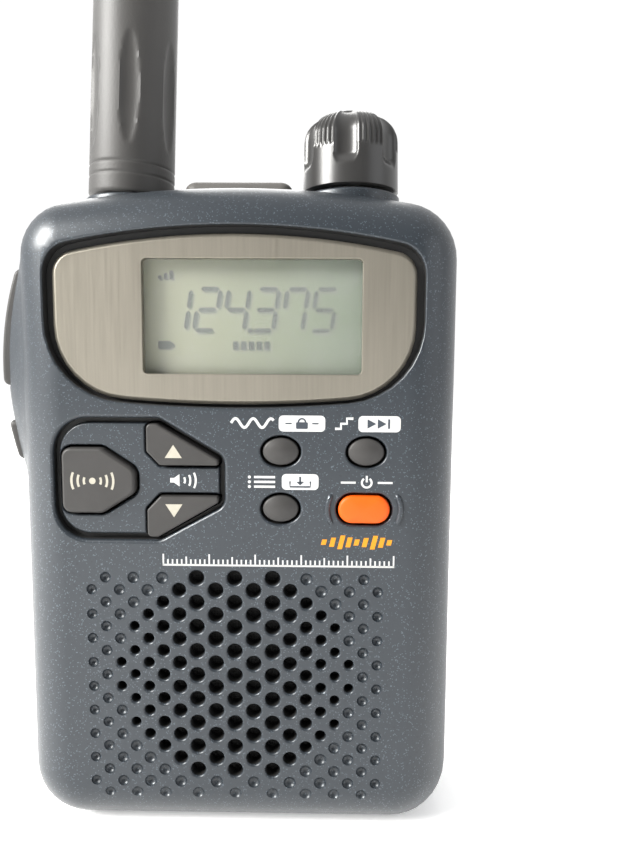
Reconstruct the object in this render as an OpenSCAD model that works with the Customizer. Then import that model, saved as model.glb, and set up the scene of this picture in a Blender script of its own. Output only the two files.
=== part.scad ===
/* [Case] */
// Width of the case across its two sides
case_w = 58; // [54:0.5:72]
// Height of the case at the middle of its crowned top
case_h = 86.6; // [86:0.1:106]
// Depth of the case from its front face to its back face
case_d = 27; // [26.5:0.1:33]
// Thickness of the moulded case walls
wall = 1.8; // [1.5:0.1:2.2]
// Radius of the long edges between the front face and the sides
front_r = 7; // [5:0.5:9]
// Radius of the long edges between the back face and the sides
rear_r = 5; // [3:0.5:6]
// Radius of the two top corners, seen from the front
top_r = 7.5; // [6:0.5:9]
// Radius of the two bottom corners, seen from the front
bottom_r = 8; // [6:0.5:9]
// Height of the crown of the top edge above its shoulders
crown = 1.8; // [1:0.1:2.5]
// Distance from the back face to the seam between the case halves
seam_back = 6.4; // [6:0.1:7]
// Outer radius of the four screw bosses
boss_r = 2.4; // [2:0.1:2.6]

/* [Display] */
// Width of the display panel
panel_w = 46.2; // [42:0.2:48]
// Distance from the top of the case to the top of the display panel
panel_top = 6.8; // [6:0.1:9]
// Height of the display panel
panel_h = 21.5; // [20:0.1:23]
// Thickness of the display panel
panel_t = 1.1; // [0.9:0.1:1.3]
// Depth of the panel's face below the case's face
panel_sink = 0.9; // [0.5:0.1:1.2]
// Width of the display opening
window_w = 27.9; // [24:0.1:29]
// Height of the display opening
window_h = 14.5; // [12:0.1:15.5]
// Sideways place of the display opening from the case's middle
window_x = 2.3; // [0:0.1:3]
// Thickness of the display glass
glass_t = 1.7; // [1.4:0.1:1.9]

/* [Keys] */
// Travel of every key
key_travel = 0.5; // [0.3:0.05:0.6]
// Gap around a key in its hole
key_gap = 0.3; // [0.25:0.05:0.35]
// Width of an oval key
oval_w = 4.6; // [4:0.1:5]
// Height of an oval key
oval_h = 3.5; // [3:0.1:3.8]
// Width of the power key
power_w = 6.6; // [6:0.1:7]
// Height of the power key
power_h = 3.6; // [3:0.1:3.8]
// Depth of the key well's floor below the case's face
well_sink = 0.6; // [0.4:0.1:0.8]
// Sideways distance between the two columns of small keys
column_pitch = 10.9; // [10.5:0.1:11.5]
// Distance between the two rows of small keys
row_pitch = 7.4; // [7:0.1:8]

/* [Side keys] */
// How far the side fairing stands out from the case
fairing_out = 3.6; // [2.5:0.1:4]
// Radius of the side fairing's curve
fairing_r = 42; // [38:1:48]
// How far a side key stands out of the fairing
side_key_out = 0.45; // [0.3:0.05:0.8]
// Length of the function key
func_len = 16; // [14:0.5:18]
// Length of the squelch key
squelch_len = 5.6; // [5:0.1:6]
// Width of the side keys, front to back
side_key_w = 4.6; // [4:0.1:5]

/* [Tuning knob] */
// Radius of the tuning knob
knob_r = 6.7; // [6:0.1:8.2]
// Height of the tuning knob
knob_h = 10.8; // [10:0.1:13]
// Sideways place of the knob from the case's middle
knob_x = 15; // [14:0.1:16]
// Radius of the encoder's shaft in its bush
shaft_r = 2; // [1.8:0.1:2.4]
// Running clearance of a shaft in its bush
running_gap = 0.05; // [0.02:0.01:0.1]

/* [Antenna] */
// Radius of the antenna's thick grip at its foot
grip_r = 5.9; // [5.5:0.1:6.5]
// Length of the thick grip
grip_len = 42; // [30:1:60]
// Length of the thinner whip above the grip
whip_len = 104; // [60:1:130]
// Radius of the whip at its root
whip_r = 4.1; // [3.5:0.1:5]
// Lean of the flexible part, in degrees
antenna_lean = 2.5; // [0:0.5:4]
// Sideways place of the antenna from the case's middle
antenna_x = -16.2; // [-17:0.1:-15.5]
// Radius of the threaded aerial connector
connector_r = 3.17; // [3:0.01:3.3]

/* [Jacks] */
// Radius of the earphone jack's bore
jack_r = 1.8; // [1.76:0.01:1.85]
// Depth of the earphone jack's bore
jack_depth = 14; // [13:0.5:15]
// Width of the jack cap
cap_w = 15; // [14:0.1:16]
// Front-to-back length of the jack cap
cap_len = 8.4; // [8:0.1:9]
// Thickness of the jack cap
cap_t = 2.4; // [2:0.1:2.6]

/* [Speaker] */
// Outer radius of the loudspeaker
speaker_r = 15.8; // [14:0.1:16]
// Height of the loudspeaker's middle above the case's foot
speaker_z = 22.6; // [22:0.1:24]
// Distance between two rows of grille holes
hole_row = 1.644; // [1.6:0.001:1.7]
// Radius of the round field of open grille holes
field_r = 15.5; // [14:0.1:16]

/* [Battery] */
// Radius of a battery cell
cell_r = 7.25; // [6:0.05:7.3]
// Length of a battery cell over its nub
cell_len = 50.5; // [49.5:0.1:51]
// Distance between the two cells' axes
cell_pitch = 15; // [14.8:0.1:16]
// Thickness of the battery cover
cover_t = 1.6; // [1.4:0.1:1.8]
// Gap around the sliding cover
cover_gap = 0.2; // [0.15:0.05:0.3]
// Length of a squeezed battery spring
spring_len = 4; // [3:0.1:5]

/* [Hidden] */

// Planes across the depth of the radio, from front to back
front_y = -case_d / 2;
back_y = case_d / 2;
seam_y = back_y - seam_back;
skin_y = front_y + wall;
pad_t = 0.9;
pad_y = skin_y + pad_t;
panel_y = front_y + panel_sink;
glass_y = pad_y + 0.2;
board_y = front_y + max(6.7, wall + 4.9);
board_t = 1;
seam_edge = 0.6;
seal_w = 0.5;

// Heights that hang from the top of the case
top_plate_z = case_h - 3.8;
board_top = case_h - 5.6;
board_foot = case_h - 48.2;
board_hw = 21.2;
keys_z = case_h - 38.1;
window_z = case_h - panel_top - 3.1 - window_h / 2;
top_row_y = front_y + 13.2;

// Small clearances
glue_gap = 0.05;
air = 0.2;

// Screw places, counted from the case's edges
boss_x = case_w / 2 - 4.8;
boss_low_z = 6;
boss_high_z = case_h - 6.6;
screw_hole_r = 0.95;
screw_r = 0.92;
screw_head_r = 1.85;
screw_head_t = 1.5;
screw_seat_y = back_y - 2.4;

// Round arcs and outlines with rounded corners
function unit(v) = v / norm(v);
function arc(c, r, a0, a1, n) =
    [for (k = [0:n]) let (a = a0 + (a1 - a0) * k / n) c + r * [cos(a), sin(a)]];
function turn(a) = a > 180 ? a - 360 : a < -180 ? a + 360 : a;
function bend(a, b, c, r, n) =
    let (u = unit(a - b), v = unit(c - b), half = acos(u * v) / 2)
    let (m = b + unit(u + v) * r / sin(half), p = b + u * r / tan(half) - m, q = b + v * r / tan(half) - m)
    let (from = atan2(p[1], p[0]), sweep = turn(atan2(q[1], q[0]) - from))
    arc(m, r, from, from + sweep, n);
function rounded(pts, radii, n = 5) =
    let (c = len(pts))
    [for (i = [0:c - 1]) each bend(pts[(i + c - 1) % c], pts[i], pts[(i + 1) % c], radii[i], n)];
function oval(w, h, n = 40) = [for (k = [0:n - 1]) [w / 2 * cos(360 * k / n), h / 2 * sin(360 * k / n)]];

// A closed outline whose top and bottom edges are crowned and whose corners are tangent arcs
function crown_radius(cx, r, rise) = (pow(cx, 2) + pow(r + rise, 2) - pow(r, 2)) / (2 * rise);
function crowned(hw, z0, z1, rb, rt, rise_b, rise_t, grow = 0) =
    let (xt = hw - rt, xb = hw - rb, rct = crown_radius(xt, rt, rise_t), rcb = crown_radius(xb, rb, rise_b))
    let (pt = atan2(rct - rt - rise_t, xt), pb = atan2(rcb - rb - rise_b, xb))
    let (zt = z1 - rise_t - rt, zb = z0 + rise_b + rb)
    concat(
        arc([xt, zt], rt + grow, 0, pt, 7),
        arc([0, z1 - rct], rct + grow, pt, 180 - pt, 12),
        arc([-xt, zt], rt + grow, 180 - pt, 180, 7),
        arc([-xb, zb], rb + grow, 180, 180 + pb, 7),
        arc([0, z0 + rcb], rcb + grow, 180 + pb, 360 - pb, 12),
        arc([xb, zb], rb + grow, 360 - pb, 360, 7)
    );

foot_rise = 0.02;
function case_front_outline(inset) =
    crowned(case_w / 2, 0, case_h, bottom_r, top_r, foot_rise, crown, -inset);
function case_side_outline(inset, low, high) = rounded(
    [[front_y + inset, low], [back_y - inset, low], [back_y - inset, high], [front_y + inset, high]],
    [front_r - inset, rear_r - inset, rear_r - inset, front_r - inset], 8
);
panel_foot = case_h - panel_top - panel_h;
function panel_outline(grow) =
    crowned(panel_w / 2, panel_foot, panel_foot + panel_h, 9.4, 3, 0.6, 2.1, grow);
function recess_outline() =
    crowned(panel_w / 2 + 1, panel_foot - 0.35, panel_foot + panel_h + 0.95, 10.4, 4, 0.6, 2.1);

// A flat shape in the plane of the front face, extruded from y0 back to y1
module slab(y0, y1) {
    translate([0, y1, 0]) rotate([90, 0, 0]) linear_extrude(y1 - y0) children();
}
module box(low, high) {
    translate(low) cube(high - low);
}
module block(inset) {
    intersection() {
        slab(front_y + inset, back_y - inset) polygon(case_front_outline(inset));
        translate([0, 0, -1]) linear_extrude(case_h + 2) polygon([
            for (p = case_side_outline(inset, -case_w / 2 + inset, case_w / 2 - inset)) [p[1], p[0]]
        ]);
        translate([-case_w, 0, 0]) rotate([90, 0, 90]) linear_extrude(2 * case_w)
            polygon(case_side_outline(inset, inset, case_h - inset));
    }
}

// Key well and key outlines, in the plane of the front face
well_left = -case_w / 2 + 5.7;
well_w = 22.1;
well_h = 15.9;
well_radii = [4.5, 1.8, 1.8, 1.8, 1.8, 4.5];
groove_w = 0.7;
groove_sink = 1.6;
function well_points(s) = [
    [well_left + s, keys_z + 8.1 - s], [well_left + 13.7, keys_z + 8.1 - s],
    [well_left + well_w - s, keys_z + 3.1], [well_left + well_w - s, keys_z - 3.2],
    [well_left + 13.7, keys_z + 8.1 - well_h + s], [well_left + s, keys_z + 8.1 - well_h + s]
];
function band_points() = rounded([
    [well_left + 1.1, keys_z + 4.2], [well_left + 6.3, keys_z + 4.2], [well_left + 10.6, keys_z + 1.4],
    [well_left + 10.6, keys_z - 1.6], [well_left + 6.3, keys_z - 4.3], [well_left + 1.1, keys_z - 4.3]
], [1.2, 1.2, 1.4, 1.4, 1.2, 1.2]);
function volume_points() = rounded([
    [well_left + 12.1, 7.35], [well_left + 13.5, 7.35], [well_left + 21.3, 2.8], [well_left + 21.3, 2],
    [well_left + 13.8, 2], [well_left + 12.1, 3.8]
], [0.6, 0.7, 0.35, 0.3, 0.4, 0.5]);
small_x = 6;
small_z = keys_z + 3.9;
power_x = small_x + column_pitch - 0.2;
power_z = small_z - row_pitch;
module band_shape() { polygon(band_points()); }
module vol_up_shape() { translate([0, keys_z]) polygon(volume_points()); }
module vol_down_shape() { translate([0, keys_z]) mirror([0, 1]) polygon(volume_points()); }
module oval_shape(column, row) {
    translate([small_x + column * column_pitch, small_z - row * row_pitch]) polygon(oval(oval_w, oval_h));
}
module stadium(w, h) {
    square([w - h, h], center = true);
    for (s = [-1, 1]) translate([s * (w - h) / 2, 0]) circle(h / 2, $fn = 48);
}
module power_shape() { translate([power_x, power_z]) stadium(power_w, power_h); }
module key_shapes() {
    band_shape();
    vol_up_shape();
    vol_down_shape();
    oval_shape(0, 0);
    oval_shape(1, 0);
    oval_shape(0, 1);
    power_shape();
}

// Side keys, on the left of the case
side_y = front_y + 9.8;
fairing_z = case_h - 24;
fairing_x = -case_w / 2 - fairing_out + fairing_r;
fairing_front = front_y + 4.2;
func_z = fairing_z + 5.7;
squelch_z = fairing_z - 9.9;
side_inner_x = -case_w / 2 + wall;
side_flange_t = 0.6;
side_board_x = -board_hw - 1.7;
module side_prism(z, length, width, x0, x1) {
    box([x0, side_y - width / 2, z - length / 2], [x1, side_y + width / 2, z + length / 2]);
}
module fairing() {
    intersection() {
        translate([fairing_x, seam_y, fairing_z]) rotate([90, 0, 0])
            cylinder(h = case_d, r = fairing_r, $fn = 180);
        translate([0, 0, fairing_z - case_w / 2]) linear_extrude(case_w) polygon(rounded([
            [-case_w / 2 - 5, fairing_front], [-case_w / 2 + 3, fairing_front],
            [-case_w / 2 + 3, seam_y - 1], [-case_w / 2 - 5, seam_y - 1]
        ], [4, 0.5, 0.5, 4]));
    }
}

// Grille: columns draw together away from the middle, and every second hole of each row is left out
function column_step(k) = k < 3 ? 2.48 : max(1.83, 2.48 - 0.18 * (k - 2));
function column_x(k) = k == 0 ? 0 : column_x(k - 1) + column_step(k);
function hole_r(k) = max(0.6, 0.975 - 0.1 * max(0, k - 2));
grille_rows = 8;
grille_columns = 7;
module grille_holes() {
    for (j = [-grille_rows:grille_rows], k = [-grille_columns:grille_columns])
        if ((abs(j) + abs(k)) % 2 == 0 && norm([column_x(abs(k)), j * hole_row]) < field_r)
            translate([sign(k) * column_x(abs(k)), front_y - 1, speaker_z + j * hole_row])
                rotate([-90, 0, 0]) cylinder(h = wall + 2, r = hole_r(abs(k)), $fn = 24);
}

// Top row: antenna, jacks and tuning knob
knob_seat_r = knob_r + 0.2;
knob_seat_z = case_h + 0.3;
knob_foot_z = knob_seat_z + 0.5;
nut_floor_z = case_h - 1;
encoder_nut_t = 1.5;
encoder_nut_r = 4.9;
encoder_bush_r = 3.4;
bush_top_z = nut_floor_z + encoder_nut_t + 0.9;
encoder_size = 10.6;
encoder_h = 6.8;
antenna_seat_z = case_h - 0.3;
antenna_foot_z = antenna_seat_z + 0.2;
connector_top_z = antenna_foot_z + 5.4;
plug_r = 4.6;
plug_len = 10;
cap_x = -0.6;
cap_seat_z = case_h - 0.6;
cap_foot_z = cap_seat_z + 0.15;
cap_y = top_row_y - cap_len / 2 + 0.6;
hinge_y = cap_y + cap_len - cap_t / 2;
hinge_z = cap_foot_z + cap_t / 2;
phone_x = cap_x - 3.8;
power_jack_x = cap_x + 3.8;
jack_barrel_r = 2.8;
jack_top_z = cap_seat_z - 0.1;
jack_body_w = 6.4;
jack_body_d = 9;
power_jack_r = 2;
power_jack_depth = 11;
power_pin_r = 0.65;
cap_plug_r = 1.3;
cap_plug_dip = 0.15;
module upright(x, z0, z1, r, facets = 64) {
    translate([x, top_row_y, z0]) cylinder(h = z1 - z0, r = r, $fn = facets);
}

// Battery bay in the rear half
cell_y = back_y - cover_t - 0.3 - cell_r;
bay_hw = cell_pitch / 2 + cell_r + 0.4;
bay_floor_y = cell_y - cell_r - 0.3;
bay_wall = 1;
contact_t = 0.4;
bay_z0 = wall + 1.4;
bay_z1 = bay_z0 + 2 * contact_t + spring_len + cell_len;
cover_hw = bay_hw + 1.3;
cover_top_z = bay_z1 + 2;
rail_out = 1;
rail_t = 0.7;
rail_y = back_y - cover_t;

module seal_ring(w0, w1) {
    difference() {
        slab(seam_y - 0.5, seam_y + 0.5) polygon(case_front_outline(w0));
        slab(seam_y - 1, seam_y + 1) polygon(case_front_outline(w1));
    }
}
module bosses(y0, y1, r) {
    for (x = [-boss_x, boss_x], z = [boss_low_z, boss_high_z])
        translate([x, y0, z]) rotate([-90, 0, 0]) cylinder(h = y1 - y0, r = r, $fn = 32);
}
post_x = board_hw - 1.9;
post_r = 1.7;
post_places = [[-post_x, board_foot + 2], [post_x, board_foot + 2], [-post_x, board_top - 2]];
module posts(y0, y1, r) {
    for (p = post_places)
        translate([p[0], y0, p[1]]) rotate([-90, 0, 0]) cylinder(h = y1 - y0, r = r, $fn = 32);
}
module guard_ridge(side) {
    slab(front_y - 0.35, front_y + 0.4) intersection() {
        difference() {
            translate([power_x, power_z]) stadium(10.2, 8.2);
            translate([power_x, power_z]) stadium(8.6, 6.6);
        }
        translate([power_x + side * 5, power_z]) square([5, 4], center = true);
    }
}

module front_case() {
    color([0.30, 0.33, 0.37])
    difference() {
        union() {
            difference() {
                block(0);
                block(wall);
                box([-case_w, seam_y, -1], [case_w, back_y + 1, case_h + 1]);
            }
            intersection() {
                block(0.1);
                union() {
                    box([-case_w / 2, skin_y - 0.2, board_foot + 1], [case_w / 2, pad_y, case_h]);
                    box([-case_w / 2 + 5, top_row_y - 6.9, top_plate_z],
                        [case_w / 2 - 5, top_row_y + 6.5, case_h]);
                    bosses(skin_y - 0.2, seam_y, boss_r);
                    posts(skin_y - 0.2, board_y, post_r);
                }
            }
            fairing();
            intersection() {
                union() {
                    upright(knob_x, case_h - 3, knob_seat_z, knob_seat_r);
                    upright(antenna_x, case_h - 3, antenna_seat_z, grip_r + 0.4);
                }
                box([-case_w, front_y, 0], [case_w, seam_y, case_h + 1]);
            }
            for (side = [-1, 1]) guard_ridge(side);
        }
        slab(front_y - 1, panel_y + panel_t) polygon(recess_outline());
        slab(front_y, pad_y + 1) translate([window_x, window_z])
            square([window_w + 2, window_h + 2], center = true);
        slab(front_y - 1, front_y + well_sink) polygon(rounded(well_points(0), well_radii));
        slab(front_y - 1, front_y + groove_sink) difference() {
            polygon(rounded(well_points(0), well_radii));
            polygon(rounded(well_points(groove_w), well_radii));
        }
        slab(front_y - 1, pad_y + 1) offset(delta = key_gap) key_shapes();
        grille_holes();
        for (key = [[func_z, func_len], [squelch_z, squelch_len]])
            side_prism(key[0], key[1] + 2 * key_gap, side_key_w + 2 * key_gap, -case_w, side_inner_x + 1);
        box([side_inner_x, side_y - 4, squelch_z - 5], [side_inner_x + 4, side_y + 4, func_z + 10]);
        upright(knob_x, nut_floor_z, case_h + 5, encoder_nut_r + 0.5);
        upright(knob_x, top_plate_z - 1, case_h, encoder_bush_r + air);
        upright(antenna_x, top_plate_z - 1, case_h + 5, connector_r + air);
        box([cap_x - cap_w / 2 - 0.3, cap_y - 0.3, cap_seat_z],
            [cap_x + cap_w / 2 + 0.3, cap_y + cap_len + 0.3, case_h + 5]);
        for (x = [phone_x, power_jack_x]) upright(x, top_plate_z - 1, case_h, jack_barrel_r + air);
        bosses(skin_y + 6, seam_y + 1, screw_hole_r);
        posts(skin_y + 1, board_y + 1, screw_hole_r - 0.2);
        seal_ring(seam_edge, seam_edge + seal_w);
    }
}

module rear_case() {
    color([0.28, 0.31, 0.35])
    difference() {
        union() {
            difference() {
                block(0);
                block(wall);
                box([-case_w, front_y - 1, -1], [case_w, seam_y, case_h + 1]);
            }
            difference() {
                box([-bay_hw - bay_wall, bay_floor_y - bay_wall, bay_z0 - bay_wall],
                    [bay_hw + bay_wall, back_y - wall + 0.1, bay_z1 + bay_wall]);
                box([-bay_hw, bay_floor_y, bay_z0], [bay_hw, back_y + 1, bay_z1]);
            }
            intersection() {
                block(0.1);
                bosses(seam_y, back_y - wall + 0.2, boss_r);
            }
        }
        box([-bay_hw, bay_floor_y, bay_z0], [bay_hw, back_y + 1, bay_z1]);
        box([-cover_hw - cover_gap, rail_y - cover_gap, -1],
            [cover_hw + cover_gap, back_y + 1, cover_top_z + cover_gap]);
        box([-cover_hw - rail_out - cover_gap, rail_y - cover_gap, -1],
            [cover_hw + rail_out + cover_gap, rail_y + rail_t + cover_gap, cover_top_z - 2 + cover_gap]);
        bosses(seam_y - 1, back_y + 1, screw_hole_r + 0.2);
        bosses(screw_seat_y, back_y + 1, screw_head_r + 0.15);
        seal_ring(seam_edge, seam_edge + seal_w);
    }
}

module case_seal() {
    color([0.1, 0.1, 0.1]) seal_ring(seam_edge + 0.02, seam_edge + seal_w - 0.02);
}

module case_screws() {
    color([0.6, 0.6, 0.62]) difference() {
        union() {
            bosses(skin_y + 8, screw_seat_y, screw_r);
            bosses(screw_seat_y, screw_seat_y + screw_head_t, screw_head_r);
        }
        for (x = [-boss_x, boss_x], z = [boss_low_z, boss_high_z], a = [0, 90])
            translate([x, screw_seat_y + screw_head_t, z]) rotate([0, a, 0])
                cube([0.5, 1.2, 2.2], center = true);
    }
}

module display_panel() {
    color([0.74, 0.70, 0.64]) difference() {
        union() {
            slab(panel_y + 0.3, panel_y + panel_t - glue_gap) polygon(panel_outline(0));
            slab(panel_y, panel_y + 0.3) polygon(panel_outline(-0.4));
        }
        slab(panel_y - 1, pad_y) translate([window_x, window_z]) polygon(rounded([
            [-window_w / 2, -window_h / 2], [window_w / 2, -window_h / 2],
            [window_w / 2, window_h / 2], [-window_w / 2, window_h / 2]
        ], [0.6, 0.6, 0.6, 0.6]));
    }
}

module display_window() {
    color([0.8, 0.85, 0.85, 0.4]) slab(panel_y + panel_t, pad_y - glue_gap)
        translate([window_x, window_z]) square([window_w + 1.6, window_h + 1.6], center = true);
}

lcd_w = window_w + 5;
lcd_h = window_h + 5;
zebra_h = 1.6;
module display_block(y0, y1, w, h) {
    slab(y0, y1) translate([window_x, window_z]) square([w, h], center = true);
}
module lcd_glass() {
    color([0.62, 0.68, 0.56]) display_block(glass_y, glass_y + glass_t, lcd_w, lcd_h);
}
module lcd_holder() {
    color([0.85, 0.85, 0.82]) difference() {
        display_block(pad_y + glue_gap, board_y - glue_gap, lcd_w + 2.4, lcd_h + 2.4);
        display_block(pad_y - 1, board_y + 1, lcd_w + 0.2, lcd_h + 0.2);
    }
}
module light_guide() {
    color([0.8, 0.9, 0.6])
        display_block(glass_y + glass_t + glue_gap, board_y - 0.2, lcd_w - 1, lcd_h - 2 * zebra_h - 1);
}
module zebra_strips() {
    color([0.9, 0.6, 0.7]) for (s = [-1, 1])
        translate([0, 0, s * (lcd_h - zebra_h - 0.4) / 2])
            display_block(glass_y + glass_t + glue_gap, board_y - glue_gap, lcd_w - 1, zebra_h);
}

// Front keys: a cap through the case, a flange behind it and a stem that reaches the dome switch
flange_t = 0.7;
flange_y = pad_y + 0.2;
stem_r = 1.1;
stem_y = board_y - key_travel - 0.65;
sheet_y = flange_y + flange_t + key_travel + 0.1;
key_centres = [
    [well_left + 5.8, keys_z], [well_left + 14.9, keys_z + 4], [well_left + 14.9, keys_z - 4],
    [small_x, small_z], [small_x + column_pitch, small_z], [small_x, power_z], [power_x, power_z]
];
module stem(i) {
    translate([key_centres[i][0], flange_y + flange_t - 0.1, key_centres[i][1]]) rotate([-90, 0, 0])
        cylinder(h = stem_y - flange_y - flange_t + 0.1, r = stem_r, $fn = 24);
}
module front_key(i, proud, lip = 0.6) {
    slab(front_y - proud, flange_y + 0.1) children();
    slab(front_y - proud - 0.3, front_y - proud) offset(delta = -0.35) children();
    slab(flange_y, flange_y + flange_t) offset(delta = lip) children();
    stem(i);
}
key_grey = [0.36, 0.36, 0.35];
module band_key() { color(key_grey) front_key(0, -0.2) band_shape(); }
module vol_up_key() { color(key_grey) front_key(1, -0.2) vol_up_shape(); }
module vol_down_key() { color(key_grey) front_key(2, -0.2) vol_down_shape(); }
module mode_key() { color(key_grey) front_key(3, 0.1) oval_shape(0, 0); }
module step_key() { color(key_grey) front_key(4, 0.1) oval_shape(1, 0); }
module memory_key() { color(key_grey) front_key(5, 0.1) oval_shape(0, 1); }
module power_key() { color([1, 0.5, 0.12]) front_key(6, 0.2) power_shape(); }

sheet_foot = board_foot + 4.2;
sheet_top = window_z - lcd_h / 2 - 1.6;
module key_seal_sheet() {
    color([0.2, 0.2, 0.2]) difference() {
        box([-board_hw, sheet_y, sheet_foot], [board_hw, sheet_y + 0.4, sheet_top]);
        for (c = key_centres) translate([c[0], sheet_y - 1, c[1]]) rotate([-90, 0, 0])
            cylinder(h = 3, r = stem_r + 0.4, $fn = 24);
    }
}
module dome_sheet() {
    color([0.8, 0.78, 0.7]) {
        box([-board_hw + 0.5, board_y - 0.15, sheet_foot], [board_hw - 0.5, board_y, sheet_top]);
        for (c = key_centres) translate([c[0], board_y - 0.4, c[1]]) rotate([-90, 0, 0])
            cylinder(h = 0.3, r1 = 1.2, r2 = 2, $fn = 24);
    }
}

module side_key(z, length) {
    intersection() {
        side_prism(z, length, side_key_w, -case_w, side_inner_x + 0.4);
        translate([fairing_x, back_y, fairing_z]) rotate([90, 0, 0])
            cylinder(h = case_d, r = fairing_r + side_key_out, $fn = 180);
    }
    side_prism(z, length + 1.2, side_key_w + 1.2, side_inner_x + 0.3, side_inner_x + 0.3 + side_flange_t);
    translate([side_inner_x + 0.5, side_y, z]) rotate([0, 90, 0])
        cylinder(h = side_switch_x - key_travel - 0.1 - side_inner_x - 0.5, r = 1, $fn = 24);
}
side_switch_x = side_board_x - 1.7;
module func_key() { color(key_grey) side_key(func_z, func_len); }
module squelch_key() { color(key_grey) side_key(squelch_z, squelch_len); }
module side_switches() {
    color([0.75, 0.75, 0.72]) for (z = [func_z, squelch_z]) {
        side_prism(z, 3.6, 3.6, side_switch_x + 0.5, side_board_x);
        translate([side_switch_x, side_y, z]) rotate([0, 90, 0]) cylinder(h = 0.6, r = 0.9, $fn = 24);
    }
}
module side_board() {
    color([0.1, 0.4, 0.25])
        box([side_board_x, side_y - 2.8, squelch_z - 3.4], [side_board_x + 0.8, side_y + 2.8, func_z + 5]);
}

module logic_board() {
    color([0.1, 0.45, 0.28]) difference() {
        box([-board_hw, board_y, board_foot], [board_hw, board_y + board_t, board_top]);
        posts(board_y - 1, board_y + 3, screw_r + 0.15);
    }
}
module board_screws() {
    color([0.7, 0.7, 0.72]) {
        posts(board_y - 3, board_y + board_t + 0.1, screw_hole_r - 0.25);
        posts(board_y + board_t, board_y + board_t + 0.8, 1.5);
    }
}
chip_y = board_y + board_t;
chip_t = 0.9;
main_chip = 12;
main_chip_top = keys_z + 10;
driver_pitch = 7;
driver_w = 3;
driver_h = 1.6;
module logic_chips() {
    color([0.12, 0.12, 0.13]) {
        box([-main_chip, chip_y, main_chip_top - main_chip], [0, chip_y + 1, main_chip_top]);
        box([5, chip_y, keys_z - 5], [12, chip_y + chip_t, keys_z + 1]);
        box([4, chip_y, keys_z + 5], [14, chip_y + chip_t, keys_z + 9]);
        for (k = [-2:2]) translate([driver_pitch * k - 0.5, chip_y, sheet_foot])
            box([-driver_w / 2, 0, 0], [driver_w / 2, chip_t - 0.1, driver_h]);
    }
}
rf_y = top_row_y + encoder_size / 2 + 0.6;
rf_z0 = bay_z1 + bay_wall + 0.8;
rf_z1 = top_plate_z - 0.6;
link_z = max(rf_z0 + 1, main_chip_top + 0.6);
link_w = 12;
link_h = 2.6;
module board_link() {
    color([0.9, 0.88, 0.8]) translate([-3, 0, link_z])
        box([-link_w / 2, chip_y, 0], [link_w / 2, rf_y, link_h]);
}
rf_board_t = 0.8;
module rf_board() {
    color([0.1, 0.4, 0.25]) box([-board_hw, rf_y, rf_z0], [board_hw, rf_y + rf_board_t, rf_z1]);
}
filter_pitch = 3.2;
module rf_filters() {
    color([0.75, 0.7, 0.55]) for (k = [0:3]) translate([8 + filter_pitch * k, rf_y, rf_z0 + 1])
        box([0, -1.6, 0], [filter_pitch - 0.8, 0, 4]);
}
shield_t = 0.3;
shield_h = 2.6;
module rf_shield_block(inset, y0) {
    box([-board_hw + 3 + inset, y0, rf_z0 + 1 + inset],
        [board_hw - 3 - inset, rf_y + rf_board_t + shield_h - inset, rf_z1 - 1 - inset]);
}
module rf_shield() {
    color([0.75, 0.76, 0.78]) difference() {
        rf_shield_block(0, rf_y + rf_board_t);
        rf_shield_block(shield_t, rf_y);
    }
}

knob_hollow_r = 5.3;
knob_bore_top = knob_foot_z + 7.8;
drive_r = 3;
dome_h = 4;
dome_r = 3.6;
dome_z = knob_foot_z + knob_h - dome_h;
flute_r = 4;
flute_bite = 0.8;
flute_foot = 3;
module tuning_knob() {
    color([0.16, 0.16, 0.16]) difference() {
        union() {
            upright(knob_x, knob_foot_z, dome_z, knob_r);
            translate([knob_x, top_row_y, dome_z]) rotate_extrude($fn = 64) polygon(
                concat([[0, 0]], arc([knob_r - dome_r, 0], dome_r, 0, 70, 6), [[2.6, dome_h], [0, dome_h]])
            );
        }
        for (a = [-8:60:292]) translate([knob_x, top_row_y, 0]) rotate([0, 0, a - 90])
            translate([knob_r + flute_r - flute_bite, 0, knob_foot_z + flute_foot])
                cylinder(h = knob_h, r = flute_r, $fn = 48);
        upright(knob_x, knob_foot_z - 1, bush_top_z + 0.5, knob_hollow_r);
        upright(knob_x, knob_foot_z, knob_bore_top, drive_r + 0.02);
    }
}
module encoder_shaft() {
    color([0.8, 0.8, 0.8]) {
        upright(knob_x, top_plate_z - encoder_h + 1.2, bush_top_z + 0.7, shaft_r);
        upright(knob_x, bush_top_z + 0.6, knob_bore_top - 0.2, drive_r);
    }
}
module encoder_body() {
    color([0.55, 0.56, 0.58]) difference() {
        union() {
            translate([knob_x, top_row_y, top_plate_z - 0.1 - encoder_h / 2])
                cube([encoder_size, encoder_size, encoder_h], center = true);
            upright(knob_x, top_plate_z - 0.2, bush_top_z, encoder_bush_r);
        }
        upright(knob_x, top_plate_z - encoder_h + 1, bush_top_z + 1, shaft_r + running_gap);
    }
}
module encoder_nut() {
    color([0.7, 0.7, 0.7]) difference() {
        upright(knob_x, nut_floor_z, nut_floor_z + encoder_nut_t, encoder_nut_r, 6);
        upright(knob_x, nut_floor_z - 1, nut_floor_z + 3, encoder_bush_r + 0.02);
    }
}

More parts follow.
